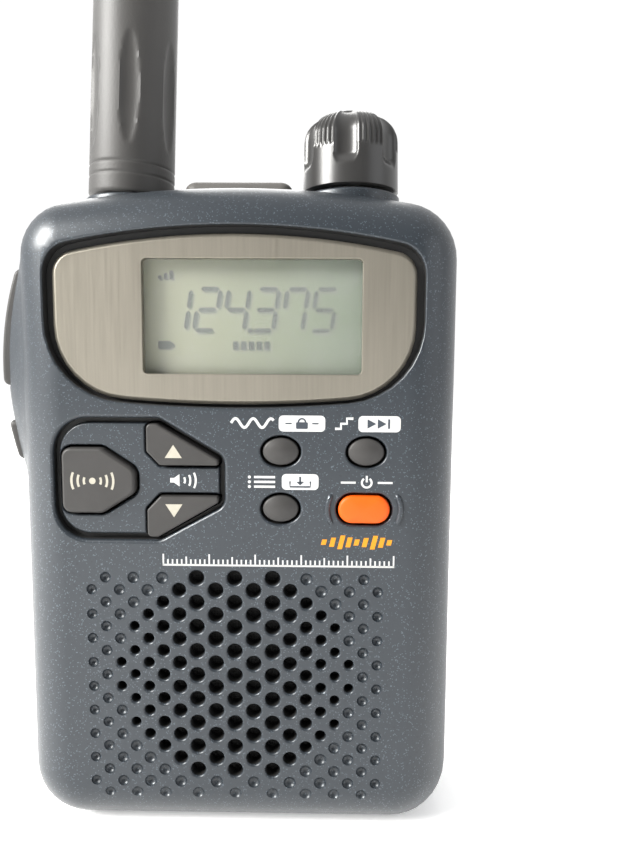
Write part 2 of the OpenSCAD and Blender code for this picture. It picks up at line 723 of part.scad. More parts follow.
pin_r = 0.45;
connector_base = 9;
module antenna_connector() {
    color([0.85, 0.75, 0.45]) difference() {
        union() {
            translate([antenna_x, top_row_y, top_plate_z - 5])
                cube([connector_base, connector_base, 6], center = true);
            upright(antenna_x, top_plate_z - 2.1, connector_top_z, connector_r);
        }
        upright(antenna_x, top_plate_z - 6, connector_top_z + 1, pin_r + 0.05 + running_gap);
    }
}
connector_nut_r = 4.6;
module connector_nut() {
    color([0.85, 0.8, 0.55]) difference() {
        upright(antenna_x, top_plate_z - 1.9, top_plate_z - 0.1, connector_nut_r, 6);
        upright(antenna_x, top_plate_z - 3, top_plate_z + 1, connector_r + 0.02);
    }
}
plug_foot_z = antenna_foot_z + 0.2;
pin_top_z = plug_foot_z + 6.6;
pin_head_r = 1.2;
module antenna_pin() {
    color([0.9, 0.8, 0.4]) {
        upright(antenna_x, top_plate_z - 1, pin_top_z, pin_r);
        upright(antenna_x, connector_top_z + 0.3, pin_top_z, pin_head_r);
    }
}
module antenna_plug() {
    color([0.8, 0.7, 0.4]) difference() {
        upright(antenna_x, plug_foot_z, plug_foot_z + plug_len, plug_r);
        upright(antenna_x, plug_foot_z - 1, connector_top_z + 0.25, connector_r + running_gap);
        upright(antenna_x, connector_top_z, pin_top_z + 0.4, pin_head_r + running_gap);
    }
}
whip_tip_r = 3.2;
shoulder_len = 7;
core_r = 1.6;
core_foot = plug_len + 1.2;
scoop_r = 20;
scoop_bite = 0.7;
scoop_w = 3;
module leaning(z = 0) {
    translate([antenna_x, top_row_y, antenna_foot_z]) rotate([0, antenna_lean, 0])
        translate([0, 0, z]) children();
}
module antenna_sleeve() {
    color([0.17, 0.17, 0.17]) difference() {
        leaning() rotate_extrude($fn = 64) polygon(concat(
            [[0, -1], [grip_r + 0.05, -1], [grip_r - 0.25, grip_len - shoulder_len]],
            [[whip_r, grip_len], [whip_tip_r, grip_len + whip_len - whip_tip_r]],
            arc([0, grip_len + whip_len - whip_tip_r], whip_tip_r, 0, 90, 8)
        ));
        for (a = [0:60:300]) leaning(14) rotate([0, 0, a - 80])
            translate([grip_r + scoop_r - scoop_bite, 0, 0]) rotate([90, 0, 0])
                cylinder(h = scoop_w, r = scoop_r, center = true, $fn = 96);
        box([antenna_x - 12, -12, antenna_foot_z - 4], [antenna_x + 12, 12, antenna_foot_z]);
        upright(antenna_x, antenna_foot_z - 1, plug_foot_z + plug_len + 0.05, plug_r + 0.02);
        leaning(core_foot - 0.2)
            cylinder(h = whip_len + grip_len - core_foot - 6, r = core_r + 0.02, $fn = 32);
    }
}
module antenna_core() {
    color([0.7, 0.55, 0.35])
        leaning(core_foot) cylinder(h = whip_len + grip_len - core_foot - 6.5, r = core_r, $fn = 32);
}

module jack_cap() {
    color([0.3, 0.29, 0.27]) {
        translate([cap_x - cap_w / 2, 0, 0]) rotate([90, 0, 90]) linear_extrude(cap_w) {
            polygon([
                [cap_y, cap_foot_z], [hinge_y, cap_foot_z], [hinge_y, cap_foot_z + cap_t],
                [cap_y + 1, cap_foot_z + cap_t], [cap_y, cap_foot_z + cap_t - 1]
            ]);
            translate([hinge_y, hinge_z]) circle(cap_t / 2, $fn = 48);
        }
        for (x = [phone_x, power_jack_x])
            upright(x, jack_top_z - cap_plug_dip, cap_foot_z + 0.5, cap_plug_r);
    }
}
module jack_body(x, bore, depth) {
    difference() {
        union() {
            upright(x, top_plate_z - 0.2, jack_top_z, jack_barrel_r);
            translate([x, top_row_y, top_plate_z - 0.1 - (depth - 1) / 2])
                cube([jack_body_w, jack_body_d, depth - 1], center = true);
        }
        upright(x, jack_top_z - depth, jack_top_z + 1, bore);
    }
}
module phone_jack() {
    color([0.15, 0.15, 0.15]) jack_body(phone_x, jack_r, jack_depth);
}
module power_jack() {
    color([0.15, 0.15, 0.15]) {
        jack_body(power_jack_x, power_jack_r, power_jack_depth);
        upright(power_jack_x, jack_top_z - power_jack_depth - 0.2, jack_top_z - 1.6, power_pin_r);
    }
}

cloth_t = 0.3;
speaker_y = skin_y + cloth_t + glue_gap;
magnet_r = 7.4;
module toward_back(y) {
    translate([0, y, speaker_z]) rotate([-90, 0, 0]) children();
}
module speaker_cloth() {
    color([0.08, 0.08, 0.08]) toward_back(skin_y) cylinder(h = cloth_t, r = speaker_r - 0.2, $fn = 64);
}
frame_h = 4.2;
rim_recess = 1.35;
module speaker_frame() {
    color([0.5, 0.5, 0.52]) toward_back(speaker_y) difference() {
        cylinder(h = frame_h, r = speaker_r, $fn = 96);
        translate([0, 0, -1]) cylinder(h = 1 + rim_recess, r = speaker_r - 1.4, $fn = 96);
        translate([0, 0, 1.1]) cylinder(h = 2.6, r1 = speaker_r - 2, r2 = magnet_r + 1.4, $fn = 96);
        translate([0, 0, 3]) cylinder(h = 3, r = magnet_r + 0.05, $fn = 96);
    }
}
module speaker_magnet() {
    color([0.35, 0.35, 0.37]) toward_back(speaker_y + 3.4) difference() {
        cylinder(h = 3, r = magnet_r, $fn = 96);
        translate([0, 0, -1]) difference() {
            cylinder(h = 3.4, r = 5, $fn = 64);
            cylinder(h = 3.4, r = 3.8, $fn = 64);
        }
    }
}
module speaker_cone() {
    color([0.25, 0.22, 0.2]) toward_back(speaker_y + 0.5) {
        rotate_extrude($fn = 96) polygon([
            [0, 0.3], [3, 0.55], [4.4, 1.2], [13.2, 0.1], [13.7, 0.1], [13.7, 0.4], [13.3, 0.4],
            [4.65, 1.5], [4.65, 3.6], [4.35, 3.6], [4.35, 1.5], [2.9, 0.85], [0, 0.6]
        ]);
    }
}

module battery_cover() {
    color([0.27, 0.30, 0.34]) difference() {
        union() {
            intersection() {
                block(0);
                box([-cover_hw, rail_y, -1], [cover_hw, back_y + 1, cover_top_z]);
            }
            intersection() {
                block(0.2);
                box([-cover_hw - rail_out, rail_y, 4],
                    [cover_hw + rail_out, rail_y + rail_t, cover_top_z - 2]);
            }
        }
        for (k = [0:5]) translate([0, back_y + 0.6, cover_top_z - 6 - 1.8 * k]) rotate([0, 90, 0])
            cylinder(h = 16 - 1.6 * k, r = 1, center = true, $fn = 24);
    }
}
cell_foot_z = bay_z0 + contact_t;
module cell(x, foot, up) {
    translate([x, cell_y, foot + (up ? 0 : cell_len)]) mirror([0, 0, up ? 0 : 1]) {
        cylinder(h = cell_len - 1.2, r = cell_r, $fn = 64);
        cylinder(h = cell_len, r = 2.6, $fn = 48);
    }
}
module left_cell() { color([0.2, 0.5, 0.3]) cell(-cell_pitch / 2, cell_foot_z + spring_len, true); }
module right_cell() { color([0.2, 0.5, 0.3]) cell(cell_pitch / 2, cell_foot_z, false); }
spring_rings = 4;
ring_h = (spring_len - 0.04) / spring_rings;
module squeezed_spring(x, foot) {
    for (k = [0:spring_rings - 1]) translate([x, cell_y, foot + 0.02 + k * ring_h]) difference() {
        cylinder(h = ring_h, r = 3.8 - 0.3 * k, $fn = 48);
        translate([0, 0, -1]) cylinder(h = ring_h + 2, r = 3 - 0.3 * k, $fn = 48);
    }
}
module battery_springs() {
    color([0.8, 0.8, 0.82]) {
        squeezed_spring(-cell_pitch / 2, cell_foot_z);
        squeezed_spring(cell_pitch / 2, cell_foot_z + cell_len);
    }
}
contact_hw = 5;
module battery_contacts() {
    color([0.85, 0.85, 0.87]) {
        box([-bay_hw + 1, cell_y - contact_hw, bay_z0], [bay_hw - 1, cell_y + contact_hw, cell_foot_z]);
        for (x = [-cell_pitch / 2, cell_pitch / 2])
            box([x - contact_hw, cell_y - contact_hw, bay_z1 - contact_t],
                [x + contact_hw, cell_y + contact_hw, bay_z1]);
    }
}

front_case();
rear_case();
case_seal();
case_screws();
display_panel();
display_window();
lcd_glass();
lcd_holder();
light_guide();
zebra_strips();
key_seal_sheet();
dome_sheet();
band_key();
vol_up_key();
vol_down_key();
mode_key();
step_key();
memory_key();
power_key();
func_key();
squelch_key();
side_switches();
side_board();
logic_board();
logic_chips();
board_screws();
board_link();
rf_board();
rf_filters();
rf_shield();
tuning_knob();
encoder_shaft();
encoder_body();
encoder_nut();
antenna_connector();
connector_nut();
antenna_pin();
antenna_plug();
antenna_sleeve();
antenna_core();
jack_cap();
phone_jack();
power_jack();
speaker_cloth();
speaker_frame();
speaker_cone();
speaker_magnet();
battery_cover();
left_cell();
right_cell();
battery_springs();
battery_contacts();
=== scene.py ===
import math

import bmesh
import bpy
from mathutils import Matrix, Vector


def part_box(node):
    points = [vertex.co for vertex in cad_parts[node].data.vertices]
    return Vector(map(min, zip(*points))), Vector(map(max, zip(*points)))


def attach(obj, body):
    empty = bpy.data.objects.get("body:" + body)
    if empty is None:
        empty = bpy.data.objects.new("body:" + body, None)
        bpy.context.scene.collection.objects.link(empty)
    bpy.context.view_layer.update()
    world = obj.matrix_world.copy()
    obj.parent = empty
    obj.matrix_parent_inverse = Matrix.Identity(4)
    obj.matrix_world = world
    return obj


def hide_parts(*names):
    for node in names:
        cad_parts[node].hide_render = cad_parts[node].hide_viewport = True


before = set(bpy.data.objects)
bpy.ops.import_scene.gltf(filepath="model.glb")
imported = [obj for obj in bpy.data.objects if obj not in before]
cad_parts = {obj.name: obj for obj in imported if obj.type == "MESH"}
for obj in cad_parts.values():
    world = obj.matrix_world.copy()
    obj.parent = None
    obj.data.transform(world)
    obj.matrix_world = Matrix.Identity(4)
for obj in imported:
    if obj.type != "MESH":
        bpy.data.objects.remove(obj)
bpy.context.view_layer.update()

# ---- Table, light and viewpoint
# The radio stands on its flat foot on a pale table, under a soft daylight window high on the left and a
# weak fill on the right. The viewpoint is close in front, right of the middle and under the display.
MM = 0.001
eye = Vector((11.5, -95.5, 64.1)) * MM
yaw, pitch, roll = math.radians(0.76), math.radians(-5.34), math.radians(-0.36)
viewpoint = bpy.data.cameras.new("viewpoint")
viewpoint.sensor_width = 36
viewpoint.lens = 27.84
viewpoint.clip_start = 0.005
viewer = bpy.data.objects.new("viewpoint", viewpoint)
viewer.matrix_world = (
    Matrix.Translation(eye)
    @ Matrix.Rotation(yaw, 4, "Z")
    @ Matrix.Rotation(pitch, 4, "X")
    @ Matrix.Rotation(roll, 4, "Y")
    @ Matrix.Rotation(math.pi / 2, 4, "X")
)
bpy.context.collection.objects.link(viewer)
scene = bpy.context.scene
scene.camera = viewer
scene.view_settings.view_transform = "Standard"
scene.world = bpy.data.worlds.new("room")
scene.world.use_nodes = True
room_tree = scene.world.node_tree
room_light = room_tree.nodes["Background"]
room_light.inputs["Color"].default_value = (1.0, 1.0, 1.0, 1)


def softbox(name, place, aim, size, watts, colour):
    """A square area light at place, turned towards aim; both in metres."""
    light = bpy.data.lights.new(name, "AREA")
    light.size = size
    light.energy = watts
    light.color = colour
    lamp = bpy.data.objects.new(name, light)
    lamp.location = place
    lamp.rotation_euler = (Vector(aim) - Vector(place)).to_track_quat("-Z", "Y").to_euler()
    bpy.context.collection.objects.link(lamp)


case_middle = (0, 0, 0.05)
softbox("window", (-0.47, -0.25, 0.36), case_middle, 0.26, 11.0, (1.0, 0.99, 0.96))
softbox("fill", (0.50, -0.25, 0.22), case_middle, 0.35, 0.5, (0.95, 0.97, 1.0))
softbox("back_light", (-0.10, 0.50, 0.45), case_middle, 0.45, 2.5, (1.0, 0.99, 0.97))


# The room is bright behind and above the radio and dimmer on the viewer's side.
class Wire:
    """One output socket of a material's nodes. Arithmetic on wires adds their Math nodes."""

    def __init__(self, tree, socket):
        self.tree = tree
        self.socket = socket

    def node(self, kind, settings, sockets, output=0):
        made = self.tree.nodes.new("ShaderNode" + kind)
        for name, value in settings.items():
            if name == "stops":
                for k, (place, colour) in enumerate(value):
                    stops = made.color_ramp.elements
                    stop = stops[k] if k < 2 else stops.new(place)
                    stop.position = place
                    stop.color = colour
            else:
                setattr(made, name, value)
        for name, value in sockets.items():
            if isinstance(value, Wire):
                self.tree.links.new(value.socket, made.inputs[name])
            else:
                made.inputs[name].default_value = value
        return Wire(self.tree, made.outputs[output])

    def maths(self, operation, *values):
        return self.node("Math", {"operation": operation}, dict(enumerate(values)))

    def __add__(self, other):
        return self.maths("ADD", self, other)

    def __sub__(self, other):
        return self.maths("SUBTRACT", self, other)

    def __rsub__(self, other):
        return self.maths("SUBTRACT", other, self)

    def __mul__(self, other):
        return self.maths("MULTIPLY", self, other)

    def __gt__(self, other):
        return self.maths("GREATER_THAN", self, other)

    __radd__ = __add__
    __rmul__ = __mul__


bearing = Wire(room_tree, room_tree.nodes.new("ShaderNodeTexCoord").outputs["Generated"])
apart = bearing.node("SeparateXYZ", {}, {"Vector": bearing}, "Y")
height = bearing.node("SeparateXYZ", {}, {"Vector": bearing}, "Z")
glow = bearing.node(
    "MapRange",
    {"clamp": True},
    {"Value": apart + 0.35 * height, "From Min": -0.9, "From Max": 0.35, "To Min": 0.07, "To Max": 1.02},
)
room_tree.links.new(glow.socket, room_light.inputs["Strength"])


def finish(name, paint):
    """A material whose shader is what paint makes from the object's own coordinates, in metres."""
    made = bpy.data.materials.new(name)
    made.use_nodes = True
    tree = made.node_tree
    tree.nodes.clear()
    place = tree.nodes.new("ShaderNodeTexCoord").outputs["Object"]
    out = tree.nodes.new("ShaderNodeOutputMaterial")
    tree.links.new(paint(Wire(tree, place)).socket, out.inputs["Surface"])
    return made


def cloud(place, size, detail=3.0, stretch=(1, 1, 1)):
    """Noise from 0 to 1 in patches about size metres across, longer where the stretch is small."""
    where = place.node("Mapping", {}, {"Vector": place, "Scale": stretch})
    return place.node("TexNoise", {}, {"Vector": where, "Scale": 1 / size, "Detail": detail})


def specks(place, size):
    """A random number from 0 to 1 in each cell of about size metres."""
    cell = place.node("TexVoronoi", {}, {"Vector": place, "Scale": 1 / size}, "Color")
    return place.node("SeparateColor", {}, {"Color": cell})


def mixed(share, low, high):
    """The colour low where share is 0 and high where it is 1."""
    return share.node("Mix", {"data_type": "RGBA"}, {0: share, 6: low, 7: high}, 2)


def relief(height, depth, strength=1.0):
    """A normal from a height of 0 to 1 that stands for depth metres."""
    return height.node("Bump", {}, {"Height": height, "Distance": depth, "Strength": strength})


def grey(value, warm=0.0):
    return (value * (1 + warm), value, value * (1 - warm), 1)


def table_top(place):
    shade = cloud(place, 0.05)
    return place.node(
        "BsdfPrincipled",
        {},
        {
            "Base Color": mixed(shade, grey(0.88), grey(0.92)),
            "Roughness": 0.75 + 0.1 * shade,
            "Normal": relief(cloud(place, 0.004), 0.0001),
            "Emission Color": mixed(shade, grey(0.96), grey(1.0)),
            "Emission Strength": 0.38,
        },
    )


bm = bmesh.new()
bmesh.ops.create_grid(bm, x_segments=8, y_segments=8, size=1.6)
table_mesh = bpy.data.meshes.new("table")
bm.to_mesh(table_mesh)
bm.free()
table_mesh.materials.append(finish("table_top", table_top))
table = bpy.data.objects.new("table", table_mesh)
bpy.context.collection.objects.link(table)

# ---- Front case
# The front half of the two-part moulded case: a thin plastic tray with softly rounded edges, painted a dark
# blue grey with a fine light fleck. It carries the display, keys, grille and the top row, and is screwed
# to the rear half. Sizes from here on are in millimetres; a mesh is scaled to metres when it is made.


def box(node):
    low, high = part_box(node)
    return low / MM, high / MM


case_high = box("rear_case")[1]
case_hw, back_y, case_top = case_high
front_y = -back_y
seam_y = (box("case_seal")[0].y + box("case_seal")[1].y) / 2
wall = 1.8
front_r, rear_r = 7.0, 5.0
top_r, bottom_r = 7.5, 8.0
crown, foot_crown = 1.8, 0.02


def arc(x, z, r, a0, a1, steps):
    """Points on a circle from angle a0 to a1, without the last, which the next stretch gives."""
    angles = [a0 + (a1 - a0) * k / steps for k in range(steps)]
    return [(x + r * math.cos(a), z + r * math.sin(a)) for a in angles]


def crown_radius(reach, r, rise):
    return (reach**2 + (r + rise) ** 2 - r**2) / (2 * rise)


def crowned(hw, z0, z1, rb, rt, rise_b, rise_t, grow=0.0, side_steps=1):
    """A closed outline with crowned top and bottom edges and tangent corner arcs, anticlockwise."""
    xt, xb = hw - rt, hw - rb
    zt, zb = z1 - rise_t - rt, z0 + rise_b + rb
    top_crown, low_crown = crown_radius(xt, rt, rise_t), crown_radius(xb, rb, rise_b)
    at, ab = math.atan2(top_crown - rt - rise_t, xt), math.atan2(low_crown - rb - rise_b, xb)
    edge = hw + grow
    down = [(-edge, zt + (zb - zt) * k / side_steps) for k in range(side_steps)]
    up = [(edge, zb + (zt - zb) * k / side_steps) for k in range(side_steps)]
    return (
        arc(xt, zt, rt + grow, 0, at, 8)
        + arc(0, z1 - top_crown, top_crown + grow, at, math.pi - at, 16)
        + arc(-xt, zt, rt + grow, math.pi - at, math.pi, 8)
        + down
        + arc(-xb, zb, rb + grow, math.pi, math.pi + ab, 8)
        + arc(0, z0 + low_crown, low_crown + grow, math.pi + ab, math.tau - ab, 12)
        + arc(xb, zb, rb + grow, -ab, 0, 8)
        + up
    )


def case_outline(inset):
    return crowned(case_hw, 0, case_top, bottom_r, top_r, foot_crown, crown, -inset, 34)


def front_face(x, z):
    """The y of the case's front at a place: flat, and falling away along its rounded edges."""
    xt, zt = case_hw - top_r, case_top - crown - top_r
    arch = crown_radius(xt, top_r, crown)
    if abs(x) > xt and z > zt:
        edge = top_r - math.hypot(abs(x) - xt, z - zt)
    else:
        edge = min(case_hw - abs(x), z, arch - math.hypot(x, z - case_top + arch))
    short = front_r - max(0.0, min(edge, front_r))
    return front_y + front_r - math.sqrt(front_r**2 - short**2)


class Stock:
    """Points, faces and each face's material number, gathered piece by piece before a mesh is made."""

    def __init__(self):
        self.points, self.faces, self.marks = [], [], []

    def add(self, points, faces, mark=0):
        start = len(self.points)
        self.points += points
        self.faces += [tuple(start + i for i in face) for face in faces]
        self.marks += [mark] * len(faces)

    def loft(self, rings, marks=None, closed=False):
        """Skins rings of equal count, with flat ends unless the row of rings is closed."""
        count, last = len(rings[0]), len(rings)
        start = len(self.points)
        self.points += [tuple(p) for ring in rings for p in ring]
        for a in range(last if closed else last - 1):
            b = (a + 1) % last
            for i in range(count):
                j = (i + 1) % count
                corners = (a * count + i, a * count + j, b * count + j, b * count + i)
                self.faces.append(tuple(start + k for k in corners))
                self.marks.append(marks[a] if marks else 0)
        if not closed:
            for end in (0, last - 1):
                self.faces.append(tuple(start + end * count + i for i in range(count)))
                self.marks.append(marks[min(end, last - 2)] if marks else 0)

    def block(self, low, high, mark=0):
        ring = [(low[0], low[1]), (high[0], low[1]), (high[0], high[1]), (low[0], high[1])]
        self.loft([[(x, y, z) for x, y in ring] for z in (low[2], high[2])], [mark])

    def upright(self, x, y, z0, z1, r, steps=64, mark=0):
        ring = arc(x, y, r, 0, math.tau, steps)
        self.loft([[(a, b, z) for a, b in ring] for z in (z0, z1)], [mark])

    def made(self, name, *materials):
        mesh = bpy.data.meshes.new(name)
        mesh.from_pydata([Vector(p) * MM for p in self.points], [], self.faces)
        for material in materials:
            mesh.materials.append(material)
        for face, mark in zip(mesh.polygons, self.marks):
            face.material_index = mark
        bm = bmesh.new()
        bm.from_mesh(mesh)
        bmesh.ops.recalc_face_normals(bm, faces=bm.faces)
        bm.to_mesh(mesh)
        bm.free()
        obj = bpy.data.objects.new(name, mesh)
        bpy.context.collection.objects.link(obj)
        return obj


def carve(body, tool, operation="DIFFERENCE", crossing=False):
    """Takes the tool's shape out of the body, or joins it on. A crossing tool has lumps that meet."""
    step = body.modifiers.new("carve", "BOOLEAN")
    step.operation = operation
    step.solver = "EXACT"
    step.use_self = crossing
    step.material_mode = "TRANSFER"
    step.object = tool
    shaped = body.evaluated_get(bpy.context.evaluated_depsgraph_get())
    mesh = bpy.data.meshes.new_from_object(shaped)
    body.modifiers.clear()
    body.data = mesh
    bpy.data.objects.remove(tool)


def settle(obj, body, slot, *nodes, angle=32):
    """Shades the piece smooth with its real edges kept sharp, and fixes it to its body."""
    for face in obj.data.polygons:
        face.use_smooth = True
    obj.data.set_sharp_from_angle(angle=math.radians(angle))
    even = obj.modifiers.new("even_shading", "WEIGHTED_NORMAL")
    even.keep_sharp = True
    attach(obj, body)
    if nodes:
        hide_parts(*nodes)
    return obj


def pearl(place):
    """Dark blue-grey paint: cloudy shade, pale flecks, faint orange-peel and polished patches."""
    tone = cloud(place, 0.018)
    fleck = specks(place, 0.00012) > 0.95
    glint = specks(place, 0.00024) > 0.97
    base = mixed(tone, (0.015, 0.020, 0.026, 1), (0.024, 0.030, 0.037, 1))
    flecked = mixed(fleck * 0.3, base, (0.20, 0.24, 0.28, 1))
    return place.node(
        "BsdfPrincipled",
        {},
        {
            "Base Color": mixed(glint * 0.35, flecked, (0.012, 0.015, 0.02, 1)),
            "Metallic": 0.2 + 0.2 * fleck,
            "Roughness": 0.38 + 0.10 * tone - 0.08 * fleck,
            "Normal": relief(cloud(place, 0.0006, 2), 0.00002, 0.6),
            "Specular IOR Level": 0.45,
            "Coat Weight": 0.25,
            "Coat Roughness": 0.26,
        },
    )


# Painted shade: near-black put on the walls and floors of holes, slots, grooves and recesses in the case,
# where only shade falls.
def shadow_black(place):
    tone = cloud(place, 0.002)
    return place.node(
        "BsdfPrincipled",
        {},
        {
            "Base Color": mixed(tone, grey(0.006), grey(0.012)),
            "Roughness": 0.5 + 0.2 * tone,
            "Normal": relief(tone, 0.00005),
        },
    )


case_paint = finish("case_paint", pearl)
# The painted shade black for the case's holes, grooves and recesses.
painted_shade_black = finish("painted_shade_black", shadow_black)

fairing_x = -box("front_case")[0].x
fairing_out = fairing_x - case_hw
fairing_r = 42.0
fairing_z = case_top - 24
fairing_front, fairing_back = front_y + 4.2, seam_y - 1
fairing_round = 4.0


def smooth(t):
    t = max(0.0, min(1.0, t))
    return t * t * (3 - 2 * t)


def with_fairing(x, y, z):
    """The left side swells into a long bulge that carries the side keys."""
    off = z - fairing_z
    swell = math.sqrt(max(0.0, fairing_r**2 - off**2)) - fairing_r + fairing_out
    if x > 0 or swell <= 0:
        return (x, y, z)
    along = smooth((y - fairing_front) / fairing_round) * smooth((fairing_back - y) / fairing_round)
    near_side = smooth((-x - case_hw + 3) / 3)
    return (x - swell**2 / (swell + 0.25) * along * near_side, y, z)


edge_steps = 10
side_ys = [front_y + front_r + k * (seam_y - 0.2 - front_y - front_r) / 14 for k in range(1, 15)]
front_rings = []
for k in range(edge_steps + 1):
    a = math.pi / 2 * k / edge_steps
    front_rings.append((front_y + front_r * (1 - math.cos(a)), front_r * (1 - math.sin(a))))
front_rings += [(y, 0.0) for y in side_ys]
front_rings += [(seam_y, 0.15), (seam_y, wall)]
inner_r = front_r - wall
for k in range(5, -1, -1):
    a = math.pi / 2 * k / 5
    y, inset = front_y + wall + inner_r * (1 - math.cos(a)), wall + inner_r * (1 - math.sin(a))
    front_rings.append((y, inset))
skin_y = front_y + wall
front = Stock()
front.loft(
    [
        [with_fairing(x, y, z) if inset < 1 else (x, y, z) for x, z in case_outline(inset)]
        for y, inset in front_rings
    ]
)
front_case = front.made("front_case_shell", case_paint, painted_shade_black)

knob_low, knob_high = box("tuning_knob")
knob_x, top_row_y = (knob_low.x + knob_high.x) / 2, (knob_low.y + knob_high.y) / 2
knob_r = (knob_high.x - knob_low.x) / 2
plug_low, plug_high = box("antenna_plug")
antenna_x = (plug_low.x + plug_high.x) / 2
grip_r = 5.9
pad_y = box("display_window")[1].y + 0.05
top_plate = case_top - 3.8
stiffening = Stock()
stiffening.block((-24, skin_y - 0.3, 40.2), (24, pad_y, 81.5))
stiffening.block((-22, top_row_y - 6.9, top_plate), (22, top_row_y + 6.5, case_top - 2.2))
carve(front_case, stiffening.made("stiffening", painted_shade_black), "UNION")


def collar(stock, x, z, r, round_r=0.35):
    """A low moulded ring on the top edge, with a rounded rim."""
    rings = [[(a, b, top_plate + 0.5) for a, b in arc(x, top_row_y, r, 0, math.tau, 72)]]
    for k in range(5):
        t = math.pi / 2 * k / 4
        size = r - round_r * (1 - math.cos(t))
        level = z - round_r * (1 - math.sin(t))
        rings.append([(a, b, level) for a, b in arc(x, top_row_y, size, 0, math.tau, 72)])
    stock.loft(rings)


collars = Stock()
collar(collars, knob_x, case_top + 0.3, knob_r + 0.2)
collar(collars, antenna_x, case_top - 0.3, grip_r + 0.4)
carve(front_case, collars.made("collars", case_paint), "UNION")


def grown(outline, distance):
    """The closed anticlockwise outline with each point moved out by distance, square to its edges."""
    moved = []
    for i, (x, z) in enumerate(outline):
        before, after = outline[i - 1], outline[(i + 1) % len(outline)]
        a = Vector((x - before[0], z - before[1])).normalized()
        b = Vector((after[0] - x, after[1] - z)).normalized()
        normal = Vector((a.y + b.y, -a.x - b.x)).normalized()
        lean = max(0.5, normal.dot(Vector((a.y, -a.x))))
        moved.append((x + normal.x * distance / lean, z + normal.y * distance / lean))
    return moved


def rounded(corners, radii, steps=5):
    """A closed outline with each corner replaced by an arc of its radius."""
    outline = []
    for i, (x, z) in enumerate(corners):
        corner = Vector((x, z))
        u = (Vector(corners[i - 1]) - corner).normalized()
        v = (Vector(corners[(i + 1) % len(corners)]) - corner).normalized()
        half = math.acos(max(-1, min(1, u.dot(v)))) / 2
        middle = corner + (u + v).normalized() * radii[i] / math.sin(half)
        start = corner + u * radii[i] / math.tan(half) - middle
        end = corner + v * radii[i] / math.tan(half) - middle
        first = math.atan2(start.y, start.x)
        sweep = (math.atan2(end.y, end.x) - first + math.pi) % math.tau - math.pi
        turns = [first + sweep * k / steps for k in range(steps + 1)]
        r = radii[i]
        outline += [(middle.x + r * math.cos(a), middle.y + r * math.sin(a)) for a in turns]
    return outline


def well_profile(depth, lip, floor_grow=0.0):
    """(growth, depth) of a sunk place from above its rounded lip down to its floor."""
    steps = [(lip, -1.0), (lip, -0.004)]
    for k in (1, 2, 3, 4):
        a = math.pi / 2 * k / 4
        steps.append((lip * (1 - math.sin(a)), lip * (1 - math.cos(a))))
    return steps + [(floor_grow, depth)]


def sink(stock, outline, profile, follow=False, base=None, marks=None):
    """Adds a cutter with that outline, each ring of its profile grown and sunk from the case's face."""
    rings = []
    for grow, depth in profile:
        ring = grown(outline, grow)
        level = front_y if base is None else base
        rings.append([(x, (front_face(x, z) if follow else level) + depth, z) for x, z in ring])
    stock.loft(rings, marks)


panel_low, panel_high = box("display_panel")
panel_hw = panel_high.x
panel_foot, panel_top = panel_low.z, panel_high.z
panel_y = panel_low.y
recess = crowned(panel_hw + 1, panel_foot - 0.35, panel_top + 0.95, 10.4, 4, 0.6, 2.1, 0, 12)
recess_floor = box("display_panel")[1].y + 0.05
recess_cut = Stock()
lip = 0.3
recess_steps = well_profile(lip + 0.05, lip)
rings = []
for grow, depth in recess_steps:
    rings.append([(x, front_face(x, z) + depth, z) for x, z in grown(recess, grow)])
rings.append([(x, recess_floor, z) for x, z in recess])
# The deep wall and floor of the recess take the painted shade black.
recess_cut.loft(rings, [0] * (len(rings) - 3) + [1, 1])
window_low, window_high = box("display_window")
window_x, window_z = (window_low.x + window_high.x) / 2, (window_low.z + window_high.z) / 2
recess_cut.block(
    (window_low.x - 0.2, front_y + 1, window_low.z - 0.2),
    (window_high.x + 0.2, pad_y + 1, window_high.z + 0.2),
    1,
)
carve(front_case, recess_cut.made("recess_cut", case_paint, painted_shade_black), crossing=True)

keys_z = case_top - 38.1
well_left = -case_hw + 5.7
well_w, well_h = 22.1, 15.9
well_radii = (4.5, 4.5, 1.8, 1.8, 1.8, 1.8)
well = rounded(
    [
        (well_left, keys_z + 8.1),
        (well_left, keys_z + 8.1 - well_h),
        (well_left + 13.7, keys_z + 8.1 - well_h),
        (well_left + well_w, keys_z - 3.2),
        (well_left + well_w, keys_z + 3.1),
        (well_left + 13.7, keys_z + 8.1),
    ],
    well_radii,
    8,
)
well_sink, groove_w, groove_sink, shelf_lip = 0.6, 0.7, 1.6, 0.35
well_cut = Stock()
rings = []
for grow, depth in well_profile(0.6, 0.5):
    rings.append([(x, front_face(x, z) + depth, z) for x, z in grown(well, grow)])
rings.append([(x, front_y + groove_sink, z) for x, z in well])
rings.append([(x, front_y + groove_sink, z) for x, z in grown(well, -groove_w)])
shelf = grown(well, -groove_w)
for k in range(4):
    a = math.pi / 2 * k / 3
    level = front_y + well_sink + shelf_lip * (1 - math.sin(a))
    rings.append([(x, level, z) for x, z in grown(shelf, -shelf_lip * (1 - math.cos(a)))])
well_cut.loft(rings, [0] * 5 + [0, 1, 1, 1] + [0] * (len(rings) - 10))
carve(front_case, well_cut.made("well_cut", case_paint, painted_shade_black))

